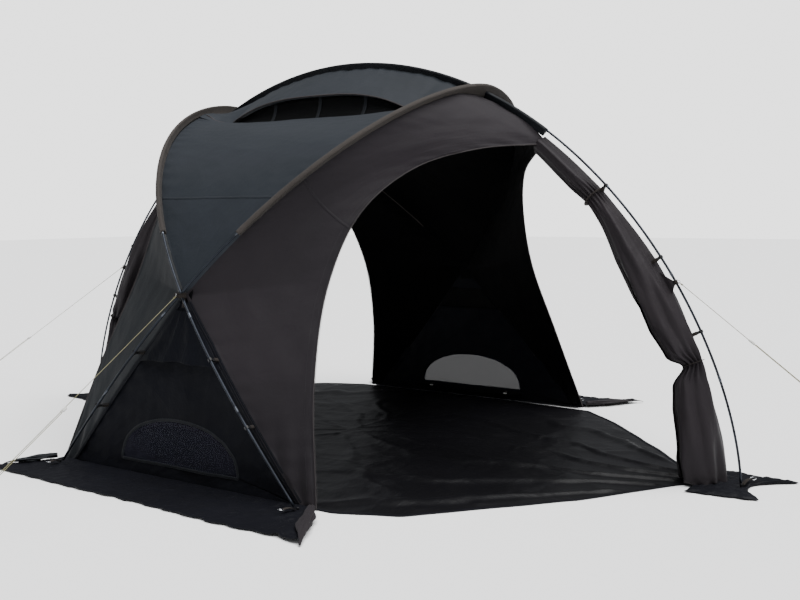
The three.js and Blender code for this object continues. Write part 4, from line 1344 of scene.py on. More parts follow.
def side_skirt(side_name, side):
    s, t = patch(260, 60)
    along = 2 * s - 1
    inner_x, inner_y = HOOP_REACH - TAB - 0.018, HOOP_FOOT + 0.015
    corners = np.array([-1.125, -0.95, -0.668, -0.138, 0.40, 0.80, 0.985])
    reach = np.array([1.790, 1.760, 1.768, 1.744, 1.735, 1.722, 1.722])
    outer_y = np.interp(along, [-1, 1], [-1.09, 1.06])
    outer_x = np.interp(outer_y, corners, reach) + 0.007 * waves(along * 1.1, 0 * along, 0.16, 101)
    y = inner_y * along * (1 - t) + outer_y * t
    x = inner_x * (1 - t) + outer_x * t
    y = y + 0.010 * waves(x * 3, y, 0.25, 102 + side) * t
    rise = 0.010 * (1 - smoothstep(t, 0, 0.25))
    heap = 0.010 + 0.020 * smoothstep(np.abs(along), 0.70, 1.0)
    z = 0.0030 + rise + heap * crumple(x, y, 0.16, 103 + side) * smoothstep(t, 0, 0.10)
    z = z + 0.009 * np.abs(waves(along * 1.1, 0 * t, 0.14, 104)) * smoothstep(t, 0.80, 1.0)
    p = points(side * x, y, z)
    skirt = place(shell(f"{side_name}_ground_skirt", p, centre=FAR_BELOW), skirt_finish,
                  "skirt_cloth", nodes=[f"{side_name}_skirt"])
    hem = sweep(f"{side_name}_skirt_hem", resample(p[3:-3, -1], 300), ring_section(0.0022, 6),
                (0, 0, 1))
    place(hem, skirt_finish, "skirt_cloth")
    return skirt


for side_name, side in SIDES.items():
    skirt = side_skirt(side_name, side)
    print(skirt.name, "area", round(cloth_area(skirt), 2), "m2")

# %% [markdown]
# ## Foot skirts
# Where the ridge pole stands, the doors end in a small piece of skirt on each side of the foot. It
# is a free-form scrap, so it is made as rings from its middle to its outline, then heaped.

# %% Foot skirts
FOOT_OUTLINE = [(-0.215, -0.200), (-0.205, -0.05), (-0.172, 0.125), (-0.105, 0.070), (-0.040, 0.045),
                (0.060, 0.045), (0.140, 0.110), (0.230, 0.210), (0.235, 0.06), (0.250, -0.170),
                (0.110, -0.200), (0.0, -0.195)]


def foot_skirt(end_name, end):
    knots = [(x, y, 0) for x, y in FOOT_OUTLINE]
    loop = resample(smooth_curve([*knots, knots[0]], 12), 160)[:, :2]
    middle = np.array([0.01, -0.06])
    t = np.linspace(0.01, 1, 34)[None, :, None]
    flat = middle + (loop[:, None] - middle) * t
    wobble = 1 + 0.05 * waves(flat[..., 0] * 3, flat[..., 1] * 3, 0.5, 111 + end)
    flat = middle + (flat - middle) * wobble[..., None]
    x, y = flat[..., 0], RIDGE_REACH + flat[..., 1]
    heap = 0.006 + 0.026 * crumple(x, y, 0.13, 112 + end)
    edge = smoothstep(1 - t[..., 0], 0, 0.10)
    foot = smoothstep(np.hypot(x, flat[..., 1]), 0.010, 0.05)
    z = 0.0028 + heap * (0.35 + 0.65 * edge) * foot * 0.9
    z = np.minimum(z, 0.0035 + 0.30 * np.hypot(x, flat[..., 1]))
    p = points(x, end * y, z)
    scrap = place(shell(f"{end_name}_foot_scrap", p, centre=FAR_BELOW), skirt_finish,
                  "skirt_cloth", nodes=[f"{end_name}_foot_skirt"])
    return scrap


for end_name, end in ENDS.items():
    scrap = foot_skirt(end_name, end)
    print(scrap.name, "area", round(cloth_area(scrap), 3), "m2")

# %% [markdown]
# ## Gathered doors
# At each end the doors are unzipped, drawn to the ridge pole's leg and tied low down. What hangs
# there is cloth rolled on itself with long folds, pinched at the tie and at the top strap, baggy
# between them. A section with folds in it is carried up the leg. Its radius follows the gather,
# and its two ends lap over each other, so it stays a thin cloth and not a stuffed tube.

# %% Gathered doors
GATHER = np.array([
    (0.000, 0.118, 0.076), (0.150, 0.124, 0.076), (0.430, 0.105, 0.066), (0.550, 0.088, 0.056),
    (0.606, 0.044, 0.052), (0.618, 0.044, 0.052), (0.665, 0.082, 0.048), (0.820, 0.100, 0.046),
    (1.000, 0.100, 0.042), (1.180, 0.086, 0.040), (1.320, 0.064, 0.036), (1.420, 0.050, 0.036),
    (1.445, 0.050, 0.036), (1.520, 0.058, 0.036), (1.600, 0.056, 0.036), (1.720, 0.048, 0.034)])
GATHER_FLAT, GATHER_TOP, TIE_HEIGHT, STRAP_HEIGHT = 0.9, 1.712, 0.612, 1.432
LAP_START, LAP_TURNS = -0.30, 1.45


def gather_radius(z):
    return np.interp(z, GATHER[:, 0], GATHER[:, 1])


def gather_gap(z):
    return np.interp(z, GATHER[:, 0], GATHER[:, 2])


def gather_frame(z, end):
    at = np.stack([0 * z, end * ridge_reach(z), z], -1)
    d = 1e-4
    along = unit(np.stack([0 * z, end * (ridge_reach(z + d) - ridge_reach(z - d)), 0 * z + 2 * d], -1))
    inner = np.stack([0 * z, -end * along[:, 2], end * along[:, 1]], -1)
    return at, along, inner


def gathered_doors(end_name, end, seed):
    z = np.linspace(PANEL_LOW + 0.001, GATHER_TOP, 300)
    blur = np.hanning(13)[1:-1] / np.hanning(13).sum()
    radius = np.convolve(np.pad(gather_radius(z), 5, mode="edge"), blur, mode="valid")
    at, _, inner = gather_frame(z, end)
    middle = at + inner * (gather_gap(z) + CLEAR + radius * GATHER_FLAT)[:, None]
    phi = np.linspace(LAP_START, LAP_TURNS * 2 * np.pi + LAP_START, 300)[None, :]
    pinch = np.exp(-((z - TIE_HEIGHT) / 0.075) ** 2) + 0.8 * np.exp(-((z - STRAP_HEIGHT) / 0.06) ** 2)
    pinch = np.minimum(1, pinch)[:, None]
    height = z[:, None]
    rng = np.random.default_rng(seed)
    drift = 1.1 * np.sin(2.1 * height + rng.uniform(0, 6)) + 0.6 * np.sin(5.3 * height + 1.3)
    broad = 0.11 * np.sin(3 * phi + drift) + 0.075 * np.sin(5 * phi - 1.7 * drift + 0.8)
    narrow = 0.040 * np.sin(9 * phi + 1.5 * drift) + 0.16 * pinch * np.sin(14 * phi + drift)
    slant = 0.05 * waves(phi * 0.25 + 0 * height, height * 0.5, 0.4, seed + 1, creased=True)
    folds = (1 - 0.5 * pinch) * (broad + slant) + narrow
    wrap = 1 - 0.13 * (phi - phi.min()) / (2 * np.pi)
    r = radius[:, None] * wrap * (1 + folds)
    bottom = 1 - smoothstep(height, 0, 0.05)
    r = r * (1 + 0.05 * bottom * np.sin(11 * phi))
    x = r * np.sin(phi)
    deep = r * GATHER_FLAT * np.cos(phi)
    p = middle[:, None] + inner[:, None] * deep[..., None]
    p[..., 0] += x
    heap = 0.018 * bottom * (0.5 + 0.5 * np.sin(5 * phi + seed)) * (1 - bottom * 0.2)
    p[..., 2] = np.maximum(p[..., 2] + heap, 0.0095)
    heart = middle[len(z) // 2]
    piece = shell(f"{end_name}_rolled_doors", p, centre=(0, heart[1], heart[2]))
    return place(piece, gathered_finish, "door_cloth", nodes=[f"{end_name}_gathered_doors"])


def tie_loop(name, end, height, slack, section):
    at, along, inner = gather_frame(np.array([height]), end)
    radius = gather_radius(height) * slack
    centre = at[0] + inner[0] * (gather_gap(height) + CLEAR + radius * GATHER_FLAT / slack)
    angle = np.linspace(0, 2 * np.pi, 60)
    line = centre + inner[0] * (radius * GATHER_FLAT * np.cos(angle))[:, None]
    line[:, 0] += radius * np.sin(angle)
    return sweep(name, line, section, along[0])


for seed, (end_name, end) in enumerate(ENDS.items()):
    piece = gathered_doors(end_name, end, 121 + 7 * seed)
    low_tie = tie_loop(f"{end_name}_door_tie", end, TIE_HEIGHT, 1.16, tape_section(0.014, 0.003))
    top_tie = tie_loop(f"{end_name}_door_strap", end, STRAP_HEIGHT, 1.20, tape_section(0.020, 0.003))
    for tie in (low_tie, top_tie):
        place(tie, webbing_finish, "webbing")
    print(piece.name, "area", round(cloth_area(piece), 2), "m2")

# %% [markdown]
# ## Clips and their straps
# A moulded hook snaps over the bare pole, and a short webbing strap, folded round the hook's arm and
# stitched, ties it to the hem of the cloth. The hook turns a little on the pole. The strap is held by
# the hem at one end and by the arm at the other.

# %% Clips and straps
WALL_CLIPS, DOOR_CLIPS = {"low": 0.340, "high": 0.625}, {"low": 0.730, "middle": 1.080, "high": 1.430}


def clip_strap(name, line, z, arm, hem):
    at = line(np.array([z]))[0]
    tangent = unit(line(np.array([z + 0.001]))[0] - line(np.array([z - 0.001]))[0])
    toward = inward(at)
    toward = unit(toward - toward.dot(tangent) * tangent)
    face = np.cross(tangent, toward)
    legs = []
    for k in (-1, 1):
        stops = [(arm * 0.52, 5.0), (arm * 0.60, 5.2), (arm * 0.95, 5.2), (arm + 0.004, 4.2),
                 (hem - 0.002, 1.2), (hem + 0.006, 1.0)]
        path = [at + toward * s + face * k * lift * 0.001 for s, lift in stops]
        leg = sweep(f"{name}_strap_{k + 2}", resample(smooth_curve(path, 8), 24),
                    tape_section(0.017, 0.0014), face * k)
        legs.append(leg)
    strap = dress(joined(*legs), webbing_finish)
    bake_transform(strap)
    dress(bpy.data.objects[name], clip_finish)
    return strap


straps = []
for side_name, side in SIDES.items():
    for end, reach in HOOPS.values():
        def leg(z, side=side, end=end, reach=reach):
            return points(side * hoop_half(z, reach), end * hoop_along(z), z)
        for level, z in WALL_CLIPS.items():
            name = f"{side_name}_{'front' if end < 0 else 'back'}_leg_clip_{level}"
            straps.append(clip_strap(name, leg, z, TAB + reach - HOOP_REACH - 5 * CLEAR,
                                     TAB + reach - HOOP_REACH))
for end_name, end in ENDS.items():
    def leg(z, end=end):
        return points(0, end * ridge_reach(z), z)
    for level, z in DOOR_CLIPS.items():
        straps.append(clip_strap(f"{end_name}_door_clip_{level}", leg, z, gather_gap(z) - 3 * CLEAR,
                                 gather_gap(z) + 0.012))
print("clip straps:", len(straps))

# %% [markdown]
# ## Hem of the gathered doors
# The straight edge of the doors stays stretched along the ridge pole's leg, held by the clips,
# while the rest is gathered. It shows as a narrow flat strip on the pole's side of the gather, from
# the arch down to the low tie, and a small triangle of it reaches the pole where the rope is tied.

# %% Door hem and rope tab
def door_hem(end_name, end):
    z = np.linspace(0.64, 1.66, 120)
    at, _, inner = gather_frame(z, end)
    line = at + inner * (gather_gap(z) + 0.012)[:, None]
    line[:, 0] += 0.006 * waves(z, 0 * z, 0.35, 131 + end)
    width = 0.038 + 0.016 * np.sin(z * 9 + end)
    t = np.linspace(-0.5, 0.5, 10)
    grid = line[:, None] + np.zeros((1, len(t), 3))
    grid[..., 0] += width[:, None] * t
    grid += inner[:, None] * (0.020 * (2 * np.abs(t)) ** 1.5)[None, :, None]
    strip = shell(f"{end_name}_door_hem", grid, centre=(0, 0, 0.8))
    return place(strip, gathered_finish, "door_cloth")


def rope_tab(end_name, end, height):
    z = np.linspace(height - 0.050, height + 0.095, 20)
    at, _, inner = gather_frame(z, end)
    base = at + inner * (gather_gap(z) + 0.020)[:, None]
    apex = np.array([0, end * float(ridge_reach(height)), height])
    t = np.linspace(0, 0.90, 14)
    grid = between(base, apex, t)
    grid[..., 0] += 0.0012 + 0.004 * np.sin(t * 7)
    tab = shell(f"{end_name}_rope_tab", grid, centre=(-5, 0, height))
    return place(tab, gathered_finish, "door_cloth")


for end_name, end in ENDS.items():
    door_hem(end_name, end)
    rope_tab(end_name, end, ROPE_HEIGHTS[end_name])
print("door hems: 2")

# %% [markdown]
# ## Bands where the hoops cross
# A brown webbing band holds the two hoops together and the wall's peak up to them. It goes round
# both poles, and a steel ring in it takes the rope. A tongue of the same webbing runs down to the
# wall. A narrower collar ties each end rope to the ridge pole's leg.

# %% Crossing bands, rope rings and knots
LEAN_ALONG = (HOOP_FOOT + HOOP_LEAN) / HOOP_HEIGHT
BAND_ALONG = POLE_R * math.hypot(1, LEAN_ALONG) + LEAN_ALONG * 0.011 + 4 * CLEAR
COLLAR_R, KNOT_R, ROPE_RING_R, ROPE_RING_WIRE = 0.0078, 0.0026, 0.0075, 0.0013


def loop_line(centre, a, b, power, count):
    angle = np.linspace(0, 2 * np.pi, count)
    c, s = np.cos(angle), np.sin(angle)
    return centre + points(a * np.sign(c) * np.abs(c) ** power, b * np.sign(s) * np.abs(s) ** power, 0)


def ring(name, centre, axis, radius, wire):
    axis = unit(np.asarray(axis, float))
    side = unit(np.cross(axis, (0.31, 0.57, 0.76)))
    over = np.cross(axis, side)
    angle = np.linspace(0, 2 * np.pi, 41)[:, None]
    line = centre + radius * (side * np.cos(angle) + over * np.sin(angle))
    piece = sweep(name, line, ring_section(wire, 8), axis)
    return place(piece, steel_finish, "runner")


def knot(name, centre, axis, radius):
    """Three turns of cord round a rope."""
    turn = np.linspace(0, 6 * np.pi, 90)[:, None]
    side = unit(np.cross(axis, (0.2, 0.3, 0.9)))
    over = np.cross(axis, side)
    line = centre + radius * (side * np.cos(turn) + over * np.sin(turn)) + axis * turn * 0.00062
    piece = sweep(name, line, ring_section(ROPE_R, 8), axis)
    return place(piece, rope_finish, "rope")


for side_name, side in SIDES.items():
    centre = np.array([side * CROSS_X, 0, CROSS_Z])
    line = loop_line(centre, BAND_ACROSS + 0.0016, BAND_ALONG + 0.0016, 0.55, 97)
    band = sweep(f"{side_name}_band", line, tape_section(0.003, 0.022), (0, 0, 1))
    place(band, webbing_finish, "webbing", nodes=[f"{side_name}_crossing_band"])
    tongue_end = wall_point(side, 0.0, WALL_HIGH - 0.004, 0.004)
    path = [centre + (side * -(BAND_ACROSS + 0.002), 0, 0.008),
            centre + (side * -(BAND_ACROSS + 0.003), 0, -0.012), tongue_end,
            wall_point(side, 0.0, WALL_HIGH - 0.030, 0.004)]
    tongue = sweep(f"{side_name}_band_tongue", resample(smooth_curve(path, 8), 30),
                   tape_section(0.020, 0.0016), (side, 0, 0.2))
    place(tongue, webbing_finish, "webbing")

for name, line in guy_lines.items():
    hook = line["start"] - line["axis"] * 0.004
    ring(f"{name}_rope_ring", hook, np.cross(line["axis"], (0, 0, 1)), ROPE_RING_R,
         ROPE_RING_WIRE)
    knot(f"{name}_rope_knot", line["start"] + line["axis"] * 0.010, line["axis"], KNOT_R)
for end_name, end in ENDS.items():
    z = ROPE_HEIGHTS[end_name]
    centre = np.array([0, end * float(ridge_reach(z)), z])
    d = 1e-3
    along = unit(np.array([0, end * float(ridge_reach(z + d) - ridge_reach(z - d)), 2 * d]))
    across = carried(np.array([centre, centre + along * 0.01]), (1, 0, 0))[0]
    angle = np.linspace(0, 2 * np.pi, 41)[:, None]
    out = np.cross(across, along)
    line = centre + COLLAR_R * (across * np.cos(angle) + out * np.sin(angle))
    place(sweep(f"{end_name}_rope_collar", line, tape_section(0.0022, 0.018), along), webbing_finish,
          "webbing")
print("bands: 2, rings:", len(guy_lines))

# %% [markdown]
# ## Runners
# A runner is a small moulded block with two bores side by side. The rope runs through one and
# the doubled part is knotted into the other, so the block grips when the rope is pulled across it.

# %% Runners and rope ends
RUNNER_R, BORE_R, CHAMFER = 0.0044, 0.0021, 0.0008


def bored_tube(name, start, axis, out, outer, inner, length):
    """A short tube whose profile goes out along its outside and back along its bore."""
    axis, out = unit(axis), unit(out - np.dot(out, axis) * axis)
    across = np.cross(out, axis)
    profile = [(inner, 0), (outer - CHAMFER, 0), (outer, CHAMFER), (outer, length - CHAMFER),
               (outer - CHAMFER, length), (inner, length)]
    sides = 20
    rings = [[start + axis * h + r * (out * math.cos(a) + across * math.sin(a))
              for a in np.arange(sides) * 2 * math.pi / sides] for r, h in profile]
    at = np.arange(len(rings) * sides).reshape(len(rings), sides)
    turned, following = np.roll(at, -1, axis=1), np.roll(at, -1, axis=0)
    quads = np.stack([at, turned, np.roll(turned, -1, axis=0), following], -1).reshape(-1, 4)
    return mesh_piece(name, np.concatenate(rings), quads.tolist())


def runner(name, line):
    axis, level, slide = line["axis"], line["level"], line["slide"]
    start = slide - axis * RUNNER_LENGTH / 2
    over = np.cross(axis, level)
    first = bored_tube(f"{name}_slider", start, axis, over, RUNNER_R, BORE_R, RUNNER_LENGTH)
    second = bored_tube(f"{name}_slider_b", start + level * 2 * ROPE_TURN + axis * 0.008, axis, over,
                        RUNNER_R - 0.0002, BORE_R, RUNNER_LENGTH - 0.012)
    web = sweep(f"{name}_slider_web", np.array([start + level * ROPE_TURN + axis * s
                                                for s in (0.004, 0.017, 0.030)]),
                tape_section(0.0048, 0.0040), over)
    piece = place(joined(first, second, web), runner_finish, "runner", f"{name}_runner",
                  [f"{name}_runner"])
    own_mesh(line["loop"][0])
    return piece


for name, line in guy_lines.items():
    piece = runner(name, line)
    rope, path = line["rope"]
    strand, back = line["loop"]
print("runners:", len(guy_lines))

# %% [markdown]
# ## Seams of the cloth
# The roof is cut in two pieces on each side, and so is each door surround, and the walls are sewn
# to the surrounds down the bare legs. Each seam is a narrow strip where four layers lie on each
# other, so it stands a millimetre proud, as a tape swept along the finished cloth.

# %% Lines across a finished cloth
ROOF_SEAM_X, SEAM_TAPE, SEAM_LIFT = 1.07, 0.014, 0.0006
SEAM_AT_HOOP, SEAM_AT_ARCH = 0.621, 0.466


def on_grid(grid, rows, cols):
    """Points of a grid at broken row and column numbers."""
    r0, c0 = np.floor(rows).astype(int), np.floor(cols).astype(int)
    r1, c1 = np.minimum(r0 + 1, grid.shape[0] - 1), np.minimum(c0 + 1, grid.shape[1] - 1)
    fr, fc = (rows - r0)[:, None], (cols - c0)[:, None]
    near = grid[r0, c0] * (1 - fc) + grid[r0, c1] * fc
    far = grid[r1, c0] * (1 - fc) + grid[r1, c1] * fc
    return near * (1 - fr) + far * fr


def cloth_line(grid, rows, cols):
    """A line on a cloth and the direction out of the cloth along it."""
    line = on_grid(grid, rows, cols)
    out = unit(on_grid(grid_normals(grid), rows, cols))
    away = ((line - np.array(MIDDLE)) * out).sum(-1).mean()
    return line, out * np.sign(away)


def shifted(line, out, across=0.0, lift=0.0):
    side = unit(np.cross(out, np.gradient(line, axis=0)))
    return line + side * across + out * lift, out


seam_lines = {"roof": [], "door": [], "wall": []}
for side_name, side in SIDES.items():
    grid = roof_grids[side_name]
    row = int(np.argmin(np.abs(grid[:, 90, 0] - side * ROOF_SEAM_X)))
    cols = np.linspace(3, grid.shape[1] - 4, 200)
    seam_lines["roof"].append((f"{side_name}_roof_seam", *cloth_line(grid, row + 0 * cols, cols)))
for (end_name, side_name), grid in surrounds.items():
    cols = np.linspace(1.0, grid.shape[1] - 2, 160)
    share = cols / (grid.shape[1] - 1)
    rows = (SEAM_AT_HOOP + (SEAM_AT_ARCH - SEAM_AT_HOOP) * share) * (grid.shape[0] - 1)
    seam_lines["door"].append((f"{end_name}_{side_name}_surround_seam", *cloth_line(grid, rows, cols)))
for side_name, side in SIDES.items():
    for end_name, end in ENDS.items():
        z = np.linspace(PANEL_LOW + 0.012, CROSS_Z - 0.035, 200)
        line = edge_at_height(z, side, end)
        out = unit(points(np.full_like(z, side), end * 0.35, 0 * z))
        seam_lines["wall"].append((f"{side_name}_{end_name}_leg_seam", line - out * 0.002, out))

# %% Seam tapes
seam_looks = {"roof": (roof_finish, "roof_cloth", SEAM_TAPE), "wall": (wall_finish, "wall_cloth", 0.030),
              "door": (panel_finish, "door_cloth", SEAM_TAPE)}
for kind, rows in seam_lines.items():
    finish, slot, width = seam_looks[kind]
    for name, line, out in rows:
        path, _ = shifted(line, out, lift=SEAM_LIFT)
        place(sweep(name, path, tape_section(width, 0.0016), out), finish, slot)
print("seams:", sum(len(rows) for rows in seam_lines.values()))

# %% [markdown]
# ## Stitches and zip teeth
# A seam is held by rows of thread, and the doors close with a coil zip along the arch. Both are
# one small shape repeated at an even pitch along a line, which is a job for Geometry Nodes: the
# line becomes a curve, the curve becomes points, and each point carries a small rounded bead,
# turned along the line and flat against the cloth. The beads are made real at the end.

# %% A tree for rows of beads
def row_along_line():
    tree = bpy.data.node_groups.new("row_along_line", "GeometryNodeTree")
    sockets = {}
    for label, kind in (("Line", "NodeSocketGeometry"), ("Pitch", "NodeSocketFloat"),
                        ("Size", "NodeSocketVector"), ("Finish", "NodeSocketMaterial")):
        made = tree.interface.new_socket(label, in_out="INPUT", socket_type=kind)
        sockets[label] = made.identifier
    tree.interface.new_socket("Row", in_out="OUTPUT", socket_type="NodeSocketGeometry")
    given, out = tree.nodes.new("NodeGroupInput"), tree.nodes.new("NodeGroupOutput")
    curve = tree.nodes.new("GeometryNodeMeshToCurve")
    spots = tree.nodes.new("GeometryNodeCurveToPoints")
    spots.mode = "LENGTH"
    facing = tree.nodes.new("GeometryNodeInputNamedAttribute")
    facing.data_type = "FLOAT_VECTOR"
    facing.inputs["Name"].default_value = "out"
    along = tree.nodes.new("FunctionNodeAlignRotationToVector")
    along.axis = "X"
    flat = tree.nodes.new("FunctionNodeAlignRotationToVector")
    flat.axis, flat.pivot_axis = "Z", "X"
    bead = tree.nodes.new("GeometryNodeMeshIcoSphere")
    bead.inputs["Radius"].default_value = 0.5
    bead.inputs["Subdivisions"].default_value = 1
    row = tree.nodes.new("GeometryNodeInstanceOnPoints")
    real = tree.nodes.new("GeometryNodeRealizeInstances")
    look = tree.nodes.new("GeometryNodeSetMaterial")
    for a, b in (
        (given.outputs["Line"], curve.inputs["Mesh"]),
        (curve.outputs["Curve"], spots.inputs["Curve"]),
        (given.outputs["Pitch"], spots.inputs["Length"]),
        (spots.outputs["Tangent"], along.inputs["Vector"]),
        (along.outputs["Rotation"], flat.inputs["Rotation"]),
        (facing.outputs["Attribute"], flat.inputs["Vector"]),
        (spots.outputs["Points"], row.inputs["Points"]),
        (bead.outputs["Mesh"], row.inputs["Instance"]),
        (flat.outputs["Rotation"], row.inputs["Rotation"]),
        (given.outputs["Size"], row.inputs["Scale"]),
        (row.outputs["Instances"], real.inputs["Geometry"]),
        (real.outputs["Geometry"], look.inputs["Geometry"]),
        (given.outputs["Finish"], look.inputs["Material"]),
        (look.outputs["Geometry"], out.inputs["Row"]),
    ):
        tree.links.new(a, b)
    return tree, sockets


ROW_TREE, ROW_SOCKETS = row_along_line()
print("tree inputs:", ROW_SOCKETS)


# %% Beads in rows along lines
def bead_rows(name, lines, pitch, size, finish, slot):
    """lines is a list of (points, directions out of the cloth)."""
    starts = np.cumsum([0] + [len(line) for line, _ in lines])
    edges = [(int(a) + k, int(a) + k + 1) for a, (line, _) in zip(starts, lines)
             for k in range(len(line) - 1)]
    mesh = bpy.data.meshes.new(f"{name}_line")
    mesh.from_pydata(np.concatenate([line for line, _ in lines]).tolist(), edges, [])
    facing = mesh.attributes.new("out", "FLOAT_VECTOR", "POINT")
    facing.data.foreach_set("vector", np.concatenate([out for _, out in lines]).ravel())
    holder = bpy.data.objects.new(f"{name}_line", mesh)
    bpy.context.collection.objects.link(holder)
    rows = holder.modifiers.new("rows", "NODES")
    rows.node_group = ROW_TREE
    for label, value in (("Pitch", pitch), ("Size", size), ("Finish", finish)):
        rows[ROW_SOCKETS[label]] = value
    ready = holder.evaluated_get(bpy.context.evaluated_depsgraph_get())
    beads = bpy.data.meshes.new_from_object(ready)
    holder.modifiers.remove(rows)
    bpy.data.objects.remove(holder)
    beads.polygons.foreach_set("use_smooth", [True] * len(beads.polygons))
    piece = bpy.data.objects.new(name, beads)
    bpy.context.collection.objects.link(piece)
    place(piece, finish, slot)
    print(name, "faces:", len(beads.polygons))
    return piece


STITCH, STITCH_PITCH, ROW_GAP = (0.0042, 0.0011, 0.0009), 0.0062, 0.0042
TOOTH, TOOTH_PITCH = (0.0019, 0.0052, 0.0024), 0.0034
for kind, slot in (("roof", "roof_cloth"), ("door", "door_cloth"), ("wall", "wall_cloth")):
    gap = 0.011 if kind == "wall" else ROW_GAP
    rows = [shifted(line, out, k * gap, SEAM_LIFT + 0.0009)
            for _, line, out in seam_lines[kind] for k in (-1, 1)]
    bead_rows(f"{kind}_stitches", rows, STITCH_PITCH, STITCH, thread_finish, slot)

# %% Stitches of the sleeves
sleeve_rows = []
for end, reach in HOOPS.values():
    line = hoop_line(end, reach, SLEEVE_START, 360)[4:-4]
    out = -inward(line)
    for k in (-1, 1):
        sleeve_rows.append(shifted(line, out, k * 0.0026, -0.021))
bead_rows("sleeve_stitches", sleeve_rows, STITCH_PITCH, STITCH, thread_finish, "hoop_sleeve")

# %% Zip teeth and stitches of the arches
teeth, arch_rows = [], []
for grid in surrounds.values():
    count = round(len(grid) * ARCH_SHARE)
    rows = np.linspace(2, count - 3, 420)
    last = grid.shape[1] - 1
    edge, out = cloth_line(grid, rows, 0 * rows + last)
    within, _ = cloth_line(grid, rows, 0 * rows + last - 4)
    toward = unit(within - edge)
    teeth.append((edge - toward * 0.0062, out))
    arch_rows.append((edge + toward * 0.014 + out * 0.0005, out))
    arch_rows.append((edge + toward * 0.040 + out * 0.0005, out))
bead_rows("arch_zip_teeth", teeth, TOOTH_PITCH, TOOTH, zip_finish, "door_cloth")
bead_rows("arch_stitches", arch_rows, STITCH_PITCH, STITCH, thread_finish, "door_cloth")

# %% Stitches of the windows
window_rows = []
for side_name, side in SIDES.items():
    line = window_edge(side)
    out = np.tile([float(side), 0.0, 0.0], (len(line), 1))
    for k in (-1, 1):
        window_rows.append(shifted(line, out, k * 0.0055, 0.0014))
bead_rows("window_stitches", window_rows, STITCH_PITCH, STITCH, thread_finish, "wall_cloth")

# %% [markdown]
# ## Rolled window flaps
# Each window has a cloth flap inside, rolled down to the sill and held by two webbing ties with a
# small toggle. The roll is a crumpled tube that tapers at its ends, so a wavy section is swept
# along the sill, a little thicker between the ties than under them.

# %% Rolled window flaps
FLAP_HALF, FLAP_R, TIE_AT = 0.415, 0.019, 0.300
FLAP_TIE_R, TOGGLE_HALF, TOGGLE_R = 0.0185, 0.015, 0.0042


def window_flap(side_name, side):
    y = np.linspace(-FLAP_HALF, FLAP_HALF, 220)
    z = WINDOW_LOW - 0.020 + 0.004 * waves(y, 0 * y, 0.3, 151 + side) - 0.010 * (
        1 - (y / FLAP_HALF) ** 2)
    path = wall_point(side, y, z, -(FLAP_R + 0.012))
    pinch = np.exp(-((np.abs(y) - TIE_AT) / 0.022) ** 2)
    taper = 0.55 + 0.45 * smoothstep(FLAP_HALF - np.abs(y), 0, 0.09)
    angle = np.arange(28) * 2 * np.pi / 28
    folds = (0.10 * np.sin(5 * angle + 7 * y[:, None]) + 0.07 * np.sin(9 * angle - 16 * y[:, None])
             + 0.06 * waves(y[:, None] + 0 * angle, angle * 0.05, 0.12, 153 + side, creased=True))
    r = FLAP_R * (taper * (1 - 0.25 * pinch))[:, None] * (1 + folds)
    section = np.stack([r * np.cos(angle), r * np.sin(angle)], -1)
    # The roll takes the near-black copy of the cloth, painted shade inside the window.
    roll = place(sweep(f"{side_name}_window_flap", path, section, (side, 0, 0)), inside_painted_shade_finish,
                 "wall_cloth")
    for k, tie_name in ((-1, "front"), (1, "back")):
        middle = wall_point(side, np.array([k * TIE_AT]), np.interp([k * TIE_AT], y, z),
                            -(FLAP_R + 0.012))[0]
        turn = np.linspace(0, 2 * np.pi, 40)
        loop = middle + points(FLAP_TIE_R * np.cos(turn), 0 * turn, FLAP_TIE_R * np.sin(turn))
        place(sweep(f"{side_name}_flap_tie_{tie_name}", loop, tape_section(0.0016, 0.012), (0, 1, 0)),
              webbing_finish, "webbing")
        steps = np.linspace(-TOGGLE_HALF, TOGGLE_HALF, 13)
        bar = middle + points(-side * 0.023 + 0 * steps, steps, 0.006 + 0 * steps)
        fat = TOGGLE_R * (1 - 0.75 * (np.abs(steps) / TOGGLE_HALF) ** 6)
        place(sweep(f"{side_name}_flap_toggle_{tie_name}", bar,
                    np.array([ring_section(f, 10) for f in fat]), (side, 0, 0)), runner_finish,
              "clip")
    return roll


for side_name, side in SIDES.items():
    print(window_flap(side_name, side).name)

# %% [markdown]
# ## Peak patches and corner scraps
# Where the two poles cross, the wall's peak, the roof and the surrounds are all sewn to one small
# patch, which closes the last gap behind the band. At each foot of a hoop, the surround's hem
# ends in a twisted scrap of loose cloth that lies over the corner of the skirt.

# %% Peak patches
PATCH_HALF, PATCH_BELOW, PATCH_ABOVE = 0.040, 0.075, 0.045


def peak_patch(side_name, side):
    u, v = patch(16, 18)
    z = CROSS_Z - PATCH_BELOW + u * (PATCH_BELOW + PATCH_ABOVE)
    line = edge_at_height(z, side, 1)
    y = (2 * v - 1) * PATCH_HALF
    p = points(line[..., 0] - side * 0.007, y, z)
    # The patch takes the near-black copy of the cloth, painted shade behind the band.
    return place(shell(f"{side_name}_peak_patch", p), inside_painted_shade_finish, "wall_cloth")


for side_name, side in SIDES.items():
    peak_patch(side_name, side)
print("peak patches:", len(SIDES))

# %% Corner scraps
SCRAP_STOPS = [(1.430, 0.868, 0.034, 0.012), (1.465, 0.892, 0.032, 0.020), (1.535, 0.938, 0.030, 0.029),
               (1.620, 0.990, 0.027, 0.030), (1.710, 1.050, 0.023, 0.022), (1.778, 1.098, 0.016, 0.010),
               (1.798, 1.114, 0.009, 0.004)]
BACK_SCRAP = 0.62


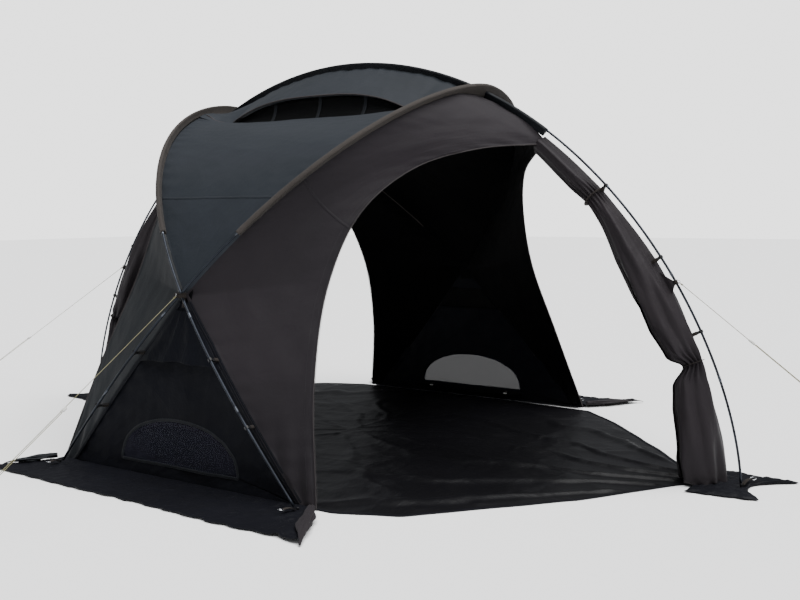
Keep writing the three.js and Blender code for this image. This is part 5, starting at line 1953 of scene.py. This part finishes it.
def corner_scrap(side_name, side, end_name, end, seed):
    stops = np.array(SCRAP_STOPS)
    reach = 1.0 if end < 0 else BACK_SCRAP
    root = stops[0]
    line = smooth_curve([(side * (root[0] + (x - root[0]) * reach),
                          end * (root[1] + (y - root[1]) * reach), z) for x, y, z, _ in stops], 24)
    line = resample(line, 150)
    t = np.linspace(0, 1, len(line))
    wide = np.interp(t, np.linspace(0, 1, len(stops)), stops[:, 3])
    flat = np.interp(t, [0, 0.3, 1], [0.8, 0.42, 0.34])
    angle = np.arange(40) * 2 * np.pi / 40
    folds = (0.20 * np.sin(3 * angle + 9 * t[:, None]) + 0.13 * np.sin(7 * angle - 12 * t[:, None])
             + 0.12 * waves(t[:, None] + 0 * angle, angle * 0.06, 0.16, seed, creased=True))
    r = wide[:, None] * (1 + folds)
    section = np.stack([r * np.cos(angle), r * flat[:, None] * np.sin(angle)], -1)
    line[:, 2] = np.maximum(line[:, 2], wide * flat * 1.15 + 0.004)
    # The back scraps take the darker copy of the cloth, painted shade.
    finish = panel_finish if end_name == "front" else painted_shade_back_panel_finish
    return place(sweep(f"{side_name}_{end_name}_corner_scrap", line, section, (0.05, 0, 1)), finish,
                 "skirt_cloth")


for seed, (side_name, side) in enumerate(SIDES.items()):
    for end_name, end in ENDS.items():
        corner_scrap(side_name, side, end_name, end, 161 + 2 * seed + (end > 0))
print("corner scraps: 4")

# %% [markdown]
# ## Loops and rings at the feet
# A short webbing loop is sewn to the hem at each foot, with a steel ring for a peg. The loop lies
# on the loose cloth, so its line starts at the tip and climbs over the crumpled edge to the ring.

# %% Loops and rings at the feet
RING_R, RING_WIRE, LOOP_LENGTH = 0.015, 0.0018, 0.078


def foot_loop(name, foot, toward, rise):
    toward = unit(np.array([*toward, 0.0]))
    start = np.array([*foot, 0.0])
    stops = [start + toward * d + (0, 0, z) for d, z in
             ((0.014, 0.016), (0.032, 0.5 * rise + 0.012), (LOOP_LENGTH - 0.020, rise + 0.002),
              (LOOP_LENGTH, rise))]
    strap = sweep(f"{name}_foot_loop", resample(smooth_curve(stops, 10), 30),
                  tape_section(0.020, 0.0018), (0, 0, 1))
    place(strap, webbing_finish, "webbing")
    centre = start + toward * (LOOP_LENGTH + RING_R * 0.7) + np.array([0, 0, rise])
    return ring(f"{name}_foot_ring", centre, unit(np.array([*(-0.25 * toward[:2]), 1.0])), RING_R,
                RING_WIRE)


for name, (end, reach) in HOOPS.items():
    for side_name, side in SIDES.items():
        foot = (side * float(hoop_half(0, reach)), end * HOOP_FOOT)
        foot_loop(f"{name}_{side_name}", foot, (side, -0.25 * end), 0.030)
for end_name, end in ENDS.items():
    foot_loop(f"ridge_{end_name}", (0.0, end * RIDGE_REACH), (0.90, end * 0.36), 0.034)
print("foot rings: 6")

# %% [markdown]
# ## Floor and light
# The cloth is nearly black, so a strong, wide and soft lamp overhead lights what faces up. A weak
# one stands behind the camera, and a faint sky fills the shadows. The backdrop that is seen is
# about as bright as the floor, so they run together.

# %% Floor and light
FLOOR_HALF, SKY_STRENGTH, BACKDROP_STRENGTH = 40, 0.26, 2.4
floor_mesh = bpy.data.meshes.new("floor")
floor_mesh.from_pydata([(FLOOR_HALF * x, FLOOR_HALF * y, 0)
                        for x, y in ((-1, -1), (1, -1), (1, 1), (-1, 1))], [], [(0, 1, 2, 3)])
floor = bpy.data.objects.new("floor", floor_mesh)
bpy.context.collection.objects.link(floor)
floor_finish, _, shader, _ = start_material("pale_floor")
shader.inputs["Base Color"].default_value = (0.86, 0.86, 0.86, 1)
shader.inputs["Roughness"].default_value = 0.9
floor.data.materials.append(floor_finish)
world = bpy.data.worlds.new("studio")
bpy.context.scene.world = world
world.use_nodes = True
tree = world.node_tree
sky = tree.nodes["Background"]
sky.inputs["Color"].default_value = (0.93, 0.96, 1.0, 1)
sky.inputs["Strength"].default_value = SKY_STRENGTH
backdrop = tree.nodes.new("ShaderNodeBackground")
backdrop.inputs["Color"].default_value = (1.0, 1.0, 1.0, 1)
backdrop.inputs["Strength"].default_value = BACKDROP_STRENGTH
seen = tree.nodes.new("ShaderNodeLightPath")
either = tree.nodes.new("ShaderNodeMixShader")
tree.links.new(seen.outputs["Is Camera Ray"], either.inputs[0])
tree.links.new(sky.outputs[0], either.inputs[1])
tree.links.new(backdrop.outputs[0], either.inputs[2])
tree.links.new(either.outputs[0], tree.nodes["World Output"].inputs["Surface"])


def lamp(name, spot, aim, angle, strength):
    data = bpy.data.lights.new(name, "SUN")
    data.angle, data.energy = math.radians(angle), strength
    light = bpy.data.objects.new(name, data)
    light.location = spot
    light.rotation_euler = (Vector(aim) - Vector(spot)).to_track_quat("-Z", "Y").to_euler()
    bpy.context.collection.objects.link(light)


lamp("overhead", (-0.4, -2.2, 8.0), (0, 0, 0), 70, 7.0)
lamp("behind_camera", (-7.0, -7.0, 5.0), (0, 0, 0.8), 60, 0.25)
